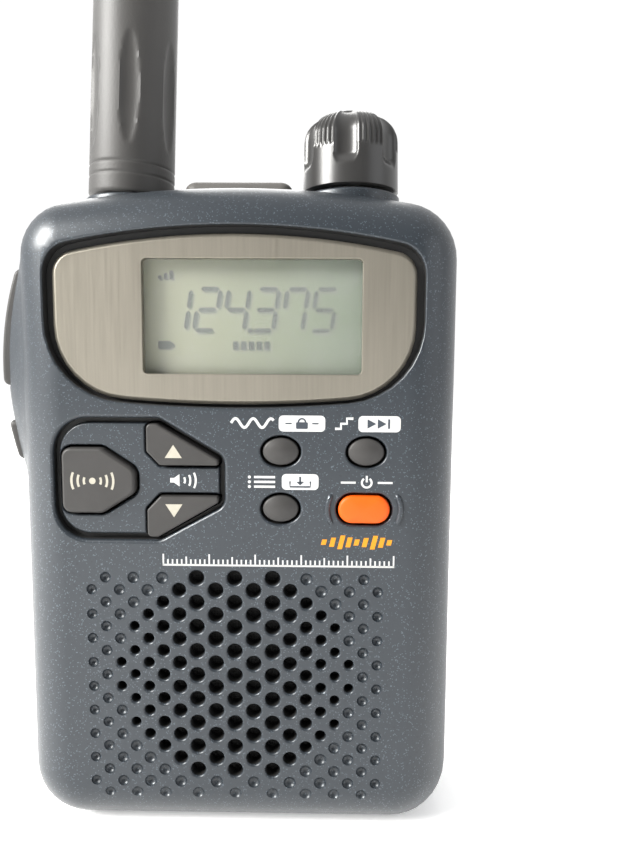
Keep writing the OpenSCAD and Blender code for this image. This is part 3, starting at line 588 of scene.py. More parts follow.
band_outline = rounded(
    [
        (well_left + 1.1, keys_z + 4.2),
        (well_left + 1.1, keys_z - 4.3),
        (well_left + 6.3, keys_z - 4.3),
        (well_left + 10.6, keys_z - 1.6),
        (well_left + 10.6, keys_z + 1.4),
        (well_left + 6.3, keys_z + 4.2),
    ],
    (1.2, 1.2, 1.2, 1.4, 1.4, 1.2),
)
volume_corners = [(12.1, 7.35), (12.1, 3.8), (13.8, 2), (21.3, 2), (21.3, 2.8), (13.5, 7.35)]
volume_radii = (0.6, 0.5, 0.4, 0.3, 0.35, 0.7)
vol_up_outline = rounded([(well_left + x, keys_z + z) for x, z in volume_corners], volume_radii)
vol_down_outline = [(x, 2 * keys_z - z) for x, z in reversed(vol_up_outline)]


def middle_of(node):
    low, high = box(node)
    return (low.x + high.x) / 2, (low.z + high.z) / 2


oval_w, oval_h = 4.6, 3.5
power_w, power_h = 6.6, 3.6


def oval_outline(node, steps=48):
    x, z = middle_of(node)
    angles = [math.tau * k / steps for k in range(steps)]
    return [(x + oval_w / 2 * math.cos(a), z + oval_h / 2 * math.sin(a)) for a in angles]


def stadium(x, z, w, h, steps=20):
    reach = (w - h) / 2
    return arc(x + reach, z, h / 2, -math.pi / 2, math.pi / 2, steps) + arc(
        x - reach, z, h / 2, math.pi / 2, 1.5 * math.pi, steps
    )


power_x, power_z = middle_of("power_key")
power_outline = stadium(power_x, power_z, power_w, power_h)
key_gap = 0.3
key_cuts = Stock()
for outline in (band_outline, vol_up_outline, vol_down_outline):
    profile = well_profile(3.5, 0.26)
    sink(key_cuts, grown(outline, key_gap), profile, base=front_y + well_sink, marks=[0] * 5 + [1, 1])
oval_keys = ("mode_key", "step_key", "memory_key")
for outline in [oval_outline(node) for node in oval_keys] + [power_outline]:
    sink(key_cuts, grown(outline, key_gap), well_profile(3.5, 0.3), marks=[0] * 5 + [1, 1])
carve(front_case, key_cuts.made("key_cuts", case_paint, painted_shade_black))

# The grille is a diamond pattern whose columns draw together towards the sides. Only the holes near the
# loudspeaker's middle go through; those outside are shallow dimples.
hole_row = 1.644
speaker_z = middle_of("speaker_magnet")[1]
open_field = 15.5


def column_x(k):
    return sum(2.48 if n < 3 else max(1.83, 2.48 - 0.18 * (n - 2)) for n in range(1, k + 1))


def hole_r(k):
    return max(0.6, 0.975 - 0.1 * max(0, k - 2))


grille = Stock()
for j in range(-10, 9):
    for k in range(-9, 10):
        if (j + k) % 2:
            continue
        x, z = math.copysign(column_x(abs(k)), k), speaker_z + j * hole_row
        rings = []
        if math.hypot(x, z - speaker_z) < open_field and abs(j) <= 8:
            hole = arc(x, z, hole_r(abs(k)), 0, math.tau, 20)
            for grow, depth in well_profile(wall + 0.6, 0.32):
                rings.append([(a, front_y + depth, b) for a, b in grown(hole, grow)])
            marks = [0] * 5 + [1, 1]
        else:
            dimple_r = 0.84 - 0.03 * max(0, abs(k) - 5)
            for t in (0, 15, 35, 55, 75, 85):
                a = math.radians(t)
                level = front_y - 0.1 + 0.66 * math.sin(a)
                ring = arc(x, z, dimple_r * math.cos(a), 0, math.tau, 16)
                rings.append([(p, level, q) for p, q in ring])
            marks = None
        grille.loft(rings, marks)
carve(front_case, grille.made("grille_cut", case_paint, painted_shade_black))


def side_slot(stock, node, grow, x0, x1, round_r=1.0):
    """A rounded block along the side key's own outline, front to back, from x0 to x1."""
    low, high = box(node)
    y0, y1, z0, z1 = low.y + 0.6 - grow, high.y - 0.6 + grow, low.z + 0.6 - grow, high.z - 0.6 + grow
    ring = rounded([(y0, z0), (y1, z0), (y1, z1), (y0, z1)], [round_r] * 4)
    stock.loft([[(x, y, z) for y, z in ring] for x in (x0, x1)], [1])


top_cuts = Stock()
side_slot(top_cuts, "func_key", key_gap, -case_hw - 8, -case_hw + wall + 1, 1.2)
side_slot(top_cuts, "squelch_key", key_gap, -case_hw - 8, -case_hw + wall + 1, 1.2)
top_cuts.upright(knob_x, top_row_y, case_top - 1, case_top + 5, 5.4, mark=1)
top_cuts.upright(knob_x, top_row_y, top_plate - 1, case_top, 3.6, mark=1)
top_cuts.upright(antenna_x, top_row_y, top_plate - 1, case_top + 5, 3.37, mark=1)
cap_low, cap_high = box("jack_cap")
cap_seat = case_top - 0.6
cap_pocket = rounded(
    [
        (cap_low.x - 0.3, cap_low.y - 0.3),
        (cap_high.x + 0.3, cap_low.y - 0.3),
        (cap_high.x + 0.3, cap_high.y + 0.3),
        (cap_low.x - 0.3, cap_high.y + 0.3),
    ],
    [1.2, 1.2, 0.6, 0.6],
)
top_cuts.loft([[(x, y, z) for x, y in cap_pocket] for z in (cap_seat, case_top + 4)])
for node in ("phone_jack", "power_jack"):
    x, z = middle_of(node)
    top_cuts.upright(x, top_row_y, top_plate - 1, case_top, 3.0, mark=1)
carve(front_case, top_cuts.made("top_cuts", case_paint, painted_shade_black), crossing=True)

guard_half_w, guard_rise, guard_bow = 0.4, 0.35, 3.7
guards = Stock()
for side in (-1, 1):
    rings = []
    for k in range(25):
        t = -1 + k / 12
        a = math.radians(32) * t
        height = guard_rise * (1 - t**8) + 0.02
        right_half = [(0.3, -0.95), (0.75, -0.6), (1.0, -0.02), (1.0, 0.3)]
        across = [(-p, q) for p, q in reversed(right_half)] + right_half
        ring = []
        for w, h in across:
            r = guard_bow + w * guard_half_w * (1 - 0.5 * t**8)
            x = power_x + side * (1 + r * math.cos(a))
            ring.append((x, front_y + (h * height if h < 0 else h), power_z + r * math.sin(a)))
        rings.append(ring)
    guards.loft(rings)
carve(front_case, guards.made("guard_ridges", case_paint), "UNION")
settle(front_case, "radio", "case_plastic", "front_case")


# ---- Rear case
# The rear half of the case, of the same painted plastic, with a tighter rounding. It closes against the
# front half at a fine seam and holds the battery bay, which opens to the back and the foot.
rear_rings = []
inner_rear = rear_r - wall
for k in range(6):
    a = math.pi / 2 * k / 5
    y, inset = back_y - wall - inner_rear * (1 - math.cos(a)), wall + inner_rear * (1 - math.sin(a))
    rear_rings.append((y, inset))
rear_rings += [(seam_y, wall), (seam_y, 0.15), (seam_y + 0.2, 0.0)]
for k in range(edge_steps, -1, -1):
    a = math.pi / 2 * k / edge_steps
    rear_rings.append((back_y - rear_r * (1 - math.cos(a)), rear_r * (1 - math.sin(a))))


def block_ring(y, inset):
    outline = crowned(case_hw, 0, case_top, bottom_r, top_r, foot_crown, crown, -inset, 6)
    return [(x, y, z) for x, z in outline]


rear = Stock()
rear.loft([block_ring(y, inset) for y, inset in rear_rings])
rear_case = rear.made("rear_case_shell", case_paint, painted_shade_black)
cover_low, cover_high = box("battery_cover")
rail_out, rail_t, cover_gap = 1.0, 0.7, 0.2
cover_hw = cover_high.x - rail_out
cover_inner_y, cover_top = cover_low.y, cover_high.z
bay_hw = cover_hw - 1.3
bay_floor = box("left_cell")[0].y - 0.3
bay_foot, bay_top = box("battery_contacts")[0].z, box("battery_contacts")[1].z
bay_walls = Stock()
bay_walls.block(
    (-bay_hw - 1, bay_floor - 1, bay_foot - 1),
    (bay_hw + 1, back_y - wall + 0.1, bay_top + 1),
)
carve(rear_case, bay_walls.made("bay_walls", case_paint), "UNION")
bay_cut = Stock()
bay_cut.block((-bay_hw, bay_floor, bay_foot), (bay_hw, back_y + 1, bay_top))
carve(rear_case, bay_cut.made("bay_cut", case_paint))
seat_cut = Stock()
seat_ring = rounded(
    [
        (-cover_hw - cover_gap, -5),
        (cover_hw + cover_gap, -5),
        (cover_hw + cover_gap, cover_top + cover_gap),
        (-cover_hw - cover_gap, cover_top + cover_gap),
    ],
    [0.5, 0.5, 2.2, 2.2],
)
seat_cut.loft([[(x, y, z) for x, z in seat_ring] for y in (cover_inner_y - cover_gap, back_y + 1)])
carve(rear_case, seat_cut.made("seat_cut", case_paint))
rail_cut = Stock()
rail_reach = cover_hw + rail_out + cover_gap
rail_cut.block(
    (-rail_reach, cover_inner_y - cover_gap, -1),
    (rail_reach, cover_inner_y + rail_t + cover_gap, cover_top - 1.8),
)
carve(rear_case, rail_cut.made("rail_cut", case_paint))
screw_low, screw_high = box("case_screws")
screw_xs = (screw_low.x + 1.85, screw_high.x - 1.85)
screw_zs = (screw_low.z + 1.85, screw_high.z - 1.85)
screw_places = [(x, z) for x in screw_xs for z in screw_zs]
screw_sink = 2.4
screw_cut = Stock()
for x, z in screw_places:
    hole = arc(x, z, 2, 0, math.tau, 32)
    mouth = []
    for grow, depth in well_profile(screw_sink, 0.25):
        mouth.append([(p, back_y - depth, q) for p, q in grown(hole, grow)])
    screw_cut.loft(mouth, [0] * 5 + [1, 1])
carve(rear_case, screw_cut.made("screw_cut", case_paint, painted_shade_black))
settle(rear_case, "radio", "case_plastic", "rear_case")

# ---- Battery cover
# A separate lid that slides off downwards along two side rails to reach the two cells. It is the same
# painted plastic as the case, and its thumb rest is a set of shallow moulded grooves that get shorter.
cover = Stock()
cover.loft([block_ring(y, inset) for y, inset in rear_rings[8:]])
battery_cover = cover.made("battery_cover_lid", case_paint, painted_shade_black)
keep = Stock()
lid_ring = rounded(
    [(-cover_hw, -5), (cover_hw, -5), (cover_hw, cover_top), (-cover_hw, cover_top)],
    [0.5, 0.5, 2.0, 2.0],
)
keep.loft([[(x, y, z) for x, z in lid_ring] for y in (cover_inner_y, back_y + 1)])
carve(battery_cover, keep.made("keep", case_paint), "INTERSECT")
rails = Stock()
for side in (-1, 1):
    x0, x1 = sorted((side * (cover_hw - 0.5), side * (cover_hw + rail_out)))
    rails.block((x0, cover_inner_y, 4), (x1, cover_inner_y + rail_t, cover_top - 2))
carve(battery_cover, rails.made("rails", case_paint), "UNION")
grip = Stock()
groove_r = 1.0
for k in range(6):
    half = (16 - 1.6 * k) / 2
    z = cover_top - 6 - 1.8 * k
    steps = [(-half - groove_r * math.cos(a), groove_r * math.sin(a)) for a in (0.25, 0.6, 1.0, 1.35)]
    stations = steps + [(-x, r) for x, r in reversed(steps)]
    turns = [(x, arc(0, 0, r, 0, math.tau, 24)) for x, r in stations]
    grip.loft([[(x, back_y + 0.6 + p, z + q) for p, q in ring] for x, ring in turns])
carve(battery_cover, grip.made("thumb_grooves", case_paint))
softened = battery_cover.modifiers.new("softened", "BEVEL")
softened.width = 0.15 * MM
softened.segments = 2
softened.limit_method = "ANGLE"
softened.angle_limit = math.radians(50)
settle(battery_cover, "cover", "case_plastic", "battery_cover")

# ---- Case screws
# Four cross-head machine screws, zinc plated, that pull the two halves together from the back.
# Their pan heads sit at the bottom of plain round pockets.


def plated(place):
    tone = cloud(place, 0.0015)
    return place.node(
        "BsdfPrincipled",
        {},
        {
            "Base Color": mixed(tone, grey(0.36), grey(0.52, 0.02)),
            "Metallic": 1.0,
            "Roughness": 0.28 + 0.2 * tone,
            "Normal": relief(cloud(place, 0.0003), 0.00001),
        },
    )


screw_steel = finish("screw_steel", plated)
head_r, head_y = 1.85, screw_high.y
screws = Stock()
for x, z in screw_places:
    profile = [(0.92, screw_low.y), (0.92, head_y - 1.5), (head_r, head_y - 1.5), (head_r, head_y - 0.6)]
    profile += [(head_r - 0.12, head_y - 0.3), (head_r - 0.5, head_y - 0.08), (0.7, head_y)]
    screws.loft([[(p, y, q) for p, q in arc(x, z, r, 0, math.tau, 32)] for r, y in profile])
case_screws = screws.made("case_screw_set", screw_steel)
crosses = Stock()
for x, z in screw_places:
    for a, b in ((1.1, 0.24), (0.24, 1.1)):
        crosses.loft(
            [
                [(x + u * a * s, y, z + w * b * s) for u, w in ((-1, -1), (1, -1), (1, 1), (-1, 1))]
                for y, s in ((head_y - 0.9, 0.55), (head_y + 0.1, 1.0))
            ]
        )
carve(case_screws, crosses.made("crosses", screw_steel), crossing=True)
settle(case_screws, "radio", "screw_steel", "case_screws")

# ---- Display panel
# A satin champagne plate with crowned edges and a slanted rim, held by adhesive in the case's recess,
# whose deep wall carries painted shade. It is a moulding with a metallic coat, finely brushed upright,
# with a window for the display.


def champagne(place):
    """Metallic coat with upright brush lines, slow tarnish clouds and small dark chips."""
    streak = cloud(place, 0.00035, 4, (1, 1, 0.03))
    broad = cloud(place, 0.009, 2, (1, 1, 0.25))
    chips = cloud(place, 0.0007, 2) > 0.74
    tone = 0.6 * streak + 0.4 * broad
    coat = mixed(tone, (0.185, 0.172, 0.142, 1), (0.285, 0.262, 0.22, 1))
    return place.node(
        "BsdfPrincipled",
        {},
        {
            "Base Color": mixed(chips * 0.35, coat, (0.22, 0.19, 0.16, 1)),
            "Metallic": 0.75,
            "Roughness": 0.36 + 0.12 * streak,
            "Normal": relief(streak, 0.00002, 0.5),
        },
    )


panel_coat = finish("panel_coat", champagne)
panel_back = panel_high.y
panel_steps = [
    (0, panel_back),
    (0, panel_y + 0.42),
    (-0.06, panel_y + 0.3),
    (-0.42, panel_y + 0.05),
    (-0.6, panel_y),
]


def panel_outline(grow):
    return crowned(panel_hw, panel_foot, panel_top, 9.4, 3, 0.6, 2.1, grow, 12)


panel = Stock()
panel.loft([[(x, y, z) for x, z in panel_outline(grow)] for grow, y in panel_steps])
display_panel = panel.made("display_panel_plate", panel_coat)
window_hw, window_hh = 27.9 / 2, 14.5 / 2


def window_ring(grow, round_r=0.6):
    a, b = window_hw + grow, window_hh + grow
    corners = [(window_x - a, window_z - b), (window_x + a, window_z - b)]
    corners += [(window_x + a, window_z + b), (window_x - a, window_z + b)]
    return rounded(corners, [round_r + grow] * 4)


opening = Stock()
opening_steps = [
    (0.12, panel_y - 1),
    (0.12, panel_y - 0.004),
    (0.04, panel_y + 0.04),
    (0, panel_y + 0.12),
]
opening_steps += [(0, panel_back + 1)]
opening.loft([[(x, y, z) for x, z in window_ring(grow)] for grow, y in opening_steps])
carve(display_panel, opening.made("opening", panel_coat))
settle(display_panel, "radio", "panel_satin", "display_panel")

# ---- Display
# A reflective liquid-crystal cell behind a clear pane: grey-green glass with slanted seven-stroke
# numbers, each with a painted shadow: a paler dark copy a little behind it, offset down and to the right.


def lcd_green(place):
    """Grey-green reflector, warmer on the left, greener on the right and darker towards the right as
    painted shade, with a fine diffuser grain.
    """
    across = place.node("SeparateXYZ", {}, {"Vector": place})
    share = (across - (window_x - window_hw) * MM) * (1 / (2 * window_hw * MM))
    # Painted shade: the tint darkens strongly from left to right across the window.
    tint_and_painted_shade = mixed(share, (0.195, 0.20, 0.13, 1), (0.068, 0.098, 0.058, 1))
    grain = cloud(place, 0.0004, 4)
    return place.node(
        "BsdfPrincipled",
        {},
        {
            "Base Color": mixed(grain * 0.1, tint_and_painted_shade, (0.10, 0.12, 0.08, 1)),
            "Specular IOR Level": 0.12,
            "Roughness": 0.5 + 0.1 * grain,
            "Normal": relief(grain, 0.00001, 0.4),
        },
    )


def ink(low, high):
    """A printed or etched colour, slightly uneven; the display's painted digit shadows use it too."""

    def paint(place):
        tone = cloud(place, 0.0005)
        return place.node(
            "BsdfPrincipled",
            {},
            {
                "Base Color": mixed(tone, low, high),
                "Specular IOR Level": 0.2,
                "Roughness": 0.5 + 0.15 * tone,
                "Normal": relief(tone, 0.00001, 0.3),
            },
        )

    return paint


def clear_pane(place):
    haze = cloud(place, 0.004)
    return place.node(
        "BsdfPrincipled",
        {},
        {
            "Base Color": mixed(haze, grey(0.75), grey(0.85)),
            "Roughness": 0.06 + 0.08 * haze,
            "Alpha": 0.05 + 0.04 * haze,
        },
    )


lcd_glass = finish("lcd_green", lcd_green)
lcd_ink = finish("lcd_ink", ink((0.028, 0.038, 0.030, 1), (0.038, 0.048, 0.038, 1)))
# Painted shadow: the paler dark colour of the numbers' offset copies.
lcd_painted_shadow = finish("lcd_painted_shadow", ink((0.075, 0.092, 0.062, 1), (0.085, 0.105, 0.07, 1)))
lcd_low, lcd_high = box("lcd_glass")
cell = Stock()
cell.loft([[(x, y, z) for x, z in window_ring(2, 0.2)] for y in (lcd_low.y, lcd_high.y)])
settle(cell.made("lcd_cell", lcd_glass), "radio", "lcd", "lcd_glass")
pane = Stock()
pane.loft([[(x, y, z) for x, z in window_ring(0.7, 0.4)] for y in (window_low.y, window_low.y + 0.5)])
display_pane = pane.made("display_pane", finish("clear_pane", clear_pane))
settle(display_pane, "radio", "clear_plastic", "display_window")

film_t = 0.02
lcd_face = lcd_low.y
digit_h, digit_w, stroke = 5.3, 2.7, 0.58
slant = 0.155
digit_foot, digit_left, digit_pitch = window_z - 1.65, window_x - 11.55, 3.78
STROKES = {
    "top": ((0, 1), (1, 1)),
    "middle": ((0, 0.5), (1, 0.5)),
    "foot": ((0, 0), (1, 0)),
    "upper_left": ((0, 0.5), (0, 1)),
    "lower_left": ((0, 0), (0, 0.5)),
    "upper_right": ((1, 0.5), (1, 1)),
    "lower_right": ((1, 0), (1, 0.5)),
}
NUMBERS = {
    "1": ("upper_right", "lower_right"),
    "2": ("top", "upper_right", "middle", "lower_left", "foot"),
    "3": ("top", "upper_right", "middle", "lower_right", "foot"),
    "4": ("upper_left", "upper_right", "middle", "lower_right"),
    "5": ("top", "upper_left", "middle", "lower_right", "foot"),
    "7": ("top", "upper_left", "upper_right", "lower_right"),
}


def film(stock, outline, y):
    """A very thin printed shape on the plane at y."""
    stock.loft([[(x, y, z) for x, z in outline], [(x, y - film_t, z) for x, z in outline]])


def number_shapes(stock, y, dx, dz):
    def lean(x, z):
        return (x + slant * (z - digit_foot) + dx, z + dz)

    for place, sign in enumerate("124375"):
        left = digit_left + digit_pitch * place
        for name in NUMBERS[sign]:
            (ax, az), (bx, bz) = STROKES[name]
            a = Vector((left + ax * digit_w, digit_foot + az * digit_h))
            b = Vector((left + bx * digit_w, digit_foot + bz * digit_h))
            along = (b - a).normalized()
            side = Vector((-along.y, along.x)) * stroke / 2
            a, b = a + along * 0.14, b - along * 0.14
            tip = along * stroke / 2
            shape = [a, a + tip + side, b - tip + side, b, b - tip - side, a + tip - side]
            film(stock, [lean(p.x, p.y) for p in reversed(shape)], y)
    dot = digit_left + 3 * digit_pitch - 0.25
    film(stock, [lean(dot + p, digit_foot + q) for p, q in arc(0, 0, 0.34, 0, math.tau, 10)], y)


def patch(stock, x, z, w, h, y):
    film(stock, [(x, z), (x + w, z), (x + w, z + h), (x, z + h)], y)


def display_icons(stock, y, dx, dz):
    """Battery, tuning bar and memory marks round the edge of the display."""
    left = window_x - window_hw + 1.5
    low = window_z - window_hh + 3.2
    patch(stock, left + dx, low + dz, 1.7, 1.0, y)
    patch(stock, left + 1.75 + dx, low + 0.25 + dz, 0.3, 0.5, y)
    for k in range(3):
        patch(stock, left + 0.1 + 0.75 * k + dx, low + 8.9 + dz, 0.45, 0.5 + 0.3 * k, y)
    for k in range(5):
        patch(stock, window_x - 2.7 + 1.02 * k + dx, low - 0.1 + dz, 0.7, 1.1, y)


# Painted shadows: dark copies of the numbers and icons, shifted down and to the right, standing in for the
# shade they would throw.
shadows = Stock()
number_shapes(shadows, lcd_face + 0.001, 0.22, -0.28)
display_icons(shadows, lcd_face + 0.001, 0.2, -0.2)
settle(shadows.made("lcd_shadows", lcd_painted_shadow), "radio", "lcd")
figures = Stock()
number_shapes(figures, lcd_face - film_t, 0, 0)
display_icons(figures, lcd_face - film_t, 0, 0)
settle(figures.made("lcd_figures", lcd_ink), "radio", "lcd")

# ---- Front keys
# Seven moulded keys stand through the front: a wide band key and two slanted volume keys in the sunk
# well, three domed ovals and the orange power key. Each is a stiff plastic cap on its own switch.


def key_plastic(low, high, rough):
    def paint(place):
        tone = cloud(place, 0.0025)
        grain = cloud(place, 0.00025, 2)
        return place.node(
            "BsdfPrincipled",
            {},
            {
                "Base Color": mixed(tone, low, high),
                "Specular IOR Level": 0.3,
                "Roughness": rough + 0.12 * tone,
                "Normal": relief(grain, 0.00001, 0.6),
            },
        )

    return paint


key_grey = finish("key_grey", key_plastic((0.030, 0.029, 0.028, 1), (0.044, 0.042, 0.041, 1), 0.42))
orange_low, orange_high = (0.70, 0.075, 0.001, 1), (0.78, 0.095, 0.002, 1)
power_orange = finish("power_orange", key_plastic(orange_low, orange_high, 0.42))
key_back = recess_floor + 0.6


def flat_key(name, outline, node, body, edge):
    """A flat-topped cap with rounded edges."""
    top = box(node)[0].y
    key = Stock()
    steps = [(0, key_back)]
    for k in range(6):
        a = math.pi / 2 * k / 5
        steps.append((-edge * (1 - math.cos(a)), top + 1.2 * edge * (1 - math.sin(a))))
    key.loft([[(x, y, z) for x, z in grown(outline, grow)] for grow, y in steps])
    settle(key.made(name, key_grey), body, "key_rubber", node)


def domed_key(name, outline, node, body, slot, material, edge, dome):
    """A cap whose edge is rounded and whose top is a low dome, in rings drawn towards its middle."""
    top = box(node)[0].y
    x0, z0 = middle_of(node)
    key = Stock()
    rings = [[(x, y, z) for x, z in outline] for y in (key_back, top + dome + edge)]
    for k in (1, 2, 3, 4):
        a = math.pi / 2 * k / 4.6
        level = top + dome + edge * (1 - math.sin(a))
        rings.append([(x, level, z) for x, z in grown(outline, -edge * (1 - math.cos(a)))])
    rim = rings[-1]
    for s in (0.85, 0.68, 0.5, 0.32, 0.15):
        level = top + (rim[0][1] - top) * s**2
        rings.append([(x0 + (x - x0) * s, level, z0 + (z - z0) * s) for x, _, z in rim])
    key.loft(rings)
    settle(key.made(name, material), body, slot, node)


flat_key("band_key_cap", band_outline, "band_key", "band_button", 0.45)
flat_key("vol_up_key_cap", vol_up_outline, "vol_up_key", "vol_up_button", 0.27)
flat_key("vol_down_key_cap", vol_down_outline, "vol_down_key", "vol_down_button", 0.27)
for key_name in ("mode", "step", "memory"):
    node = key_name + "_key"
    body = key_name + "_button"
    domed_key(node + "_cap", oval_outline(node), node, body, "key_rubber", key_grey, 0.35, 0.4)
domed_key(
    "power_key_cap", power_outline, "power_key", "power_button", "power_orange", power_orange, 0.45, 0.2
)

# ---- Printed marks
# The front is pad printed in white, with one amber mark: a sign beside each key, a scale line above the
# grille and white lozenges for the second functions. All the signs are plain generic ones.
white_ink = finish("white_ink", ink(grey(0.44), grey(0.52)))
amber_ink = finish("amber_ink", ink((0.52, 0.20, 0.012, 1), (0.60, 0.25, 0.02, 1)))
dark_ink = finish("dark_ink", ink((0.035, 0.042, 0.052, 1), (0.05, 0.058, 0.07, 1)))
cream_ink = finish("cream_ink", ink((0.33, 0.31, 0.26, 1), (0.40, 0.38, 0.32, 1)))
print_t = 0.02


def print_shape(stock, outline, y=front_y):
    """A flat printed shape whose back is just under the surface at y."""
    stock.loft([[(x, y + 0.01, z) for x, z in outline], [(x, y - print_t, z) for x, z in outline]])


def print_line(stock, path, width, y=front_y, closed=False):
    """A printed line of even width along a path."""
    rings = []
    count = len(path)
    for i, (x, z) in enumerate(path):
        before = path[i - 1] if i or closed else path[i]
        after = path[(i + 1) % count] if i + 1 < count or closed else path[i]
        along = Vector((after[0] - before[0], after[1] - before[1])).normalized()
        a, b = along.y * width / 2, -along.x * width / 2
        rings.append(
            [
                (x + a, y + 0.01, z + b),
                (x - a, y + 0.01, z - b),
                (x - a, y - print_t, z - b),
                (x + a, y - print_t, z + b),
            ]
        )
    stock.loft(rings, closed=closed)


def bar(stock, x, z, w, h, y=front_y, slope=0.0):
    print_shape(stock, [(x, z), (x + w, z), (x + w + slope * h, z + h), (x + slope * h, z + h)], y)


def lozenge(x0, x1, z0, z1):
    return rounded([(x0, z0), (x1, z0), (x1, z1), (x0, z1)], [0.55] * 4)


def circle(x, z, r, a0=0.0, a1=math.tau, steps=24):
    end = [(x + r * math.cos(a1), z + r * math.sin(a1))]
    return arc(x, z, r, a0, a1, steps) + ([] if a1 - a0 > 6.28 else end)


white = Stock()
over = Stock()
over_y = front_y - print_t
label_z = keys_z + 7.55
wave_x0, wave_x1 = -0.3, 5.1
wave = [
    (wave_x0 + (wave_x1 - wave_x0) * k / 48, label_z + 0.58 * math.sin(math.tau * k / 20))
    for k in range(49)
]
print_line(white, wave, 0.34)
print_shape(white, lozenge(5.75, 11.65, label_z - 1.05, label_z + 1.0))
lock_x = 8.7
lock_body = [
    (lock_x - 0.75, label_z - 0.7),
    (lock_x + 0.75, label_z - 0.7),
    (lock_x + 0.75, label_z + 0.15),
    (lock_x - 0.75, label_z + 0.15),
]
print_shape(over, rounded(lock_body, [0.15] * 4), over_y)
print_line(over, circle(lock_x, label_z + 0.15, 0.45, 0, math.pi, 14), 0.2, over_y)
for x in (6.6, 10.0):
    bar(over, x, label_z - 0.1, 0.8, 0.16, over_y)
steps_x = 12.9
stair = [(0, -0.65), (0.75, -0.65), (0.75, 0), (1.5, 0), (1.5, 0.65), (2.3, 0.65)]
print_line(white, [(steps_x + x, label_z + z) for x, z in stair], 0.34)
print_shape(white, lozenge(15.85, 21.2, label_z - 1.05, label_z + 1.0))
for x in (17.0, 18.3):
    print_shape(over, [(x, label_z - 0.6), (x + 1.1, label_z), (x, label_z + 0.6)], over_y)
bar(over, 19.6, label_z - 0.6, 0.24, 1.2, over_y)
memo_z = keys_z
for k in range(3):
    print_shape(white, circle(2.0, memo_z - 0.62 + 0.62 * k, 0.2, steps=12))
    bar(white, 2.6, memo_z - 0.77 + 0.62 * k, 2.7, 0.3)
print_shape(white, lozenge(6.15, 10.85, memo_z - 1.0, memo_z + 1.05))
tray = [(7.2, memo_z + 0.1), (7.2, memo_z - 0.6), (9.8, memo_z - 0.6), (9.8, memo_z + 0.1)]
print_line(over, tray, 0.2, over_y)
bar(over, 8.38, memo_z - 0.05, 0.24, 0.75, over_y)
print_shape(over, [(8.0, memo_z + 0.05), (8.5, memo_z - 0.4), (9.0, memo_z + 0.05)], over_y)
print_line(white, circle(power_x + 0.3, memo_z, 0.62, math.radians(125), math.radians(415)), 0.26)
bar(white, power_x + 0.17, memo_z + 0.05, 0.26, 0.85)
for x in (-3.0, 1.7):
    bar(white, power_x + x, memo_z - 0.13, 1.9, 0.26)
scale_z = keys_z - 11.0
scale_x0, scale_x1 = -9.2, 20.6
scale_steps = 50
for k in range(scale_steps + 1):
    x = scale_x0 + (scale_x1 - scale_x0) * k / scale_steps
    rise = 1.45 if k % 10 == 0 else 1.1 if k % 5 == 0 else 0.75
    bar(white, x - 0.1, scale_z, 0.2, rise)
bar(white, scale_x0 - 0.1, scale_z - 0.12, scale_x1 - scale_x0 + 0.2, 0.24)
settle(white.made("white_print", white_ink), "radio", "case_plastic")
settle(over.made("dark_print", dark_ink), "radio", "case_plastic")
amber = Stock()
amber_foot = keys_z - 8.7
for k, rise in enumerate((0.7, 1.2, 1.8, 1.3, 0.8, 1.2, 1.8, 1.3, 0.7)):
    bar(amber, 11.2 + 1.05 * k, amber_foot + (1.8 - rise) / 2, 0.62, rise, slope=0.25)
settle(amber.made("amber_print", amber_ink), "radio", "case_plastic")

shelf_y = front_y + well_sink
sound = Stock()
sound_x, sound_z = -8.3, keys_z
horn = [(0, -0.3), (0.5, -0.3), (1.2, -0.8), (1.2, 0.8), (0.5, 0.3), (0, 0.3)]
print_shape(sound, [(sound_x + x, sound_z + z) for x, z in horn], shelf_y)
for r in (0.9, 1.6, 2.3):
    print_line(sound, circle(sound_x + 1.0, sound_z, r, -0.45, 0.45, 10), 0.26, shelf_y)
settle(sound.made("volume_print", white_ink), "radio", "case_plastic")
volume_keys = (("up", "vol_up_key", "vol_up_button", 1), ("down", "vol_down_key", "vol_down_button", -1))
for name, node, body, point in volume_keys:
    arrow = Stock()
    top = box(node)[0].y
    arrow_x, base = -7.7, keys_z + point * 3.0
    corners = [(arrow_x - 1.1, base), (arrow_x + 1.1, base), (arrow_x, base + point * 1.7)]
    print_shape(arrow, corners if point > 0 else corners[::-1], top)
    settle(arrow.made("vol_" + name + "_mark", cream_ink), body, "key_rubber")
band_mark = Stock()
band_x, band_z = middle_of("band_key")
band_x -= 0.7
band_face = box("band_key")[0].y
print_shape(band_mark, circle(band_x, band_z, 0.42, steps=20), band_face)
for side in (0, math.pi):
    for r in (1.1, 1.9, 2.7):
        print_line(band_mark, circle(band_x, band_z, r, side - 0.42, side + 0.42, 10), 0.3, band_face)
settle(band_mark.made("band_mark", cream_ink), "band_button", "key_rubber")

# ---- Side keys
# Two long keys on the left bulge, for the second function and for opening the squelch. They are the
# same plastic as the front keys and follow the bulge's curve a little proud of it.


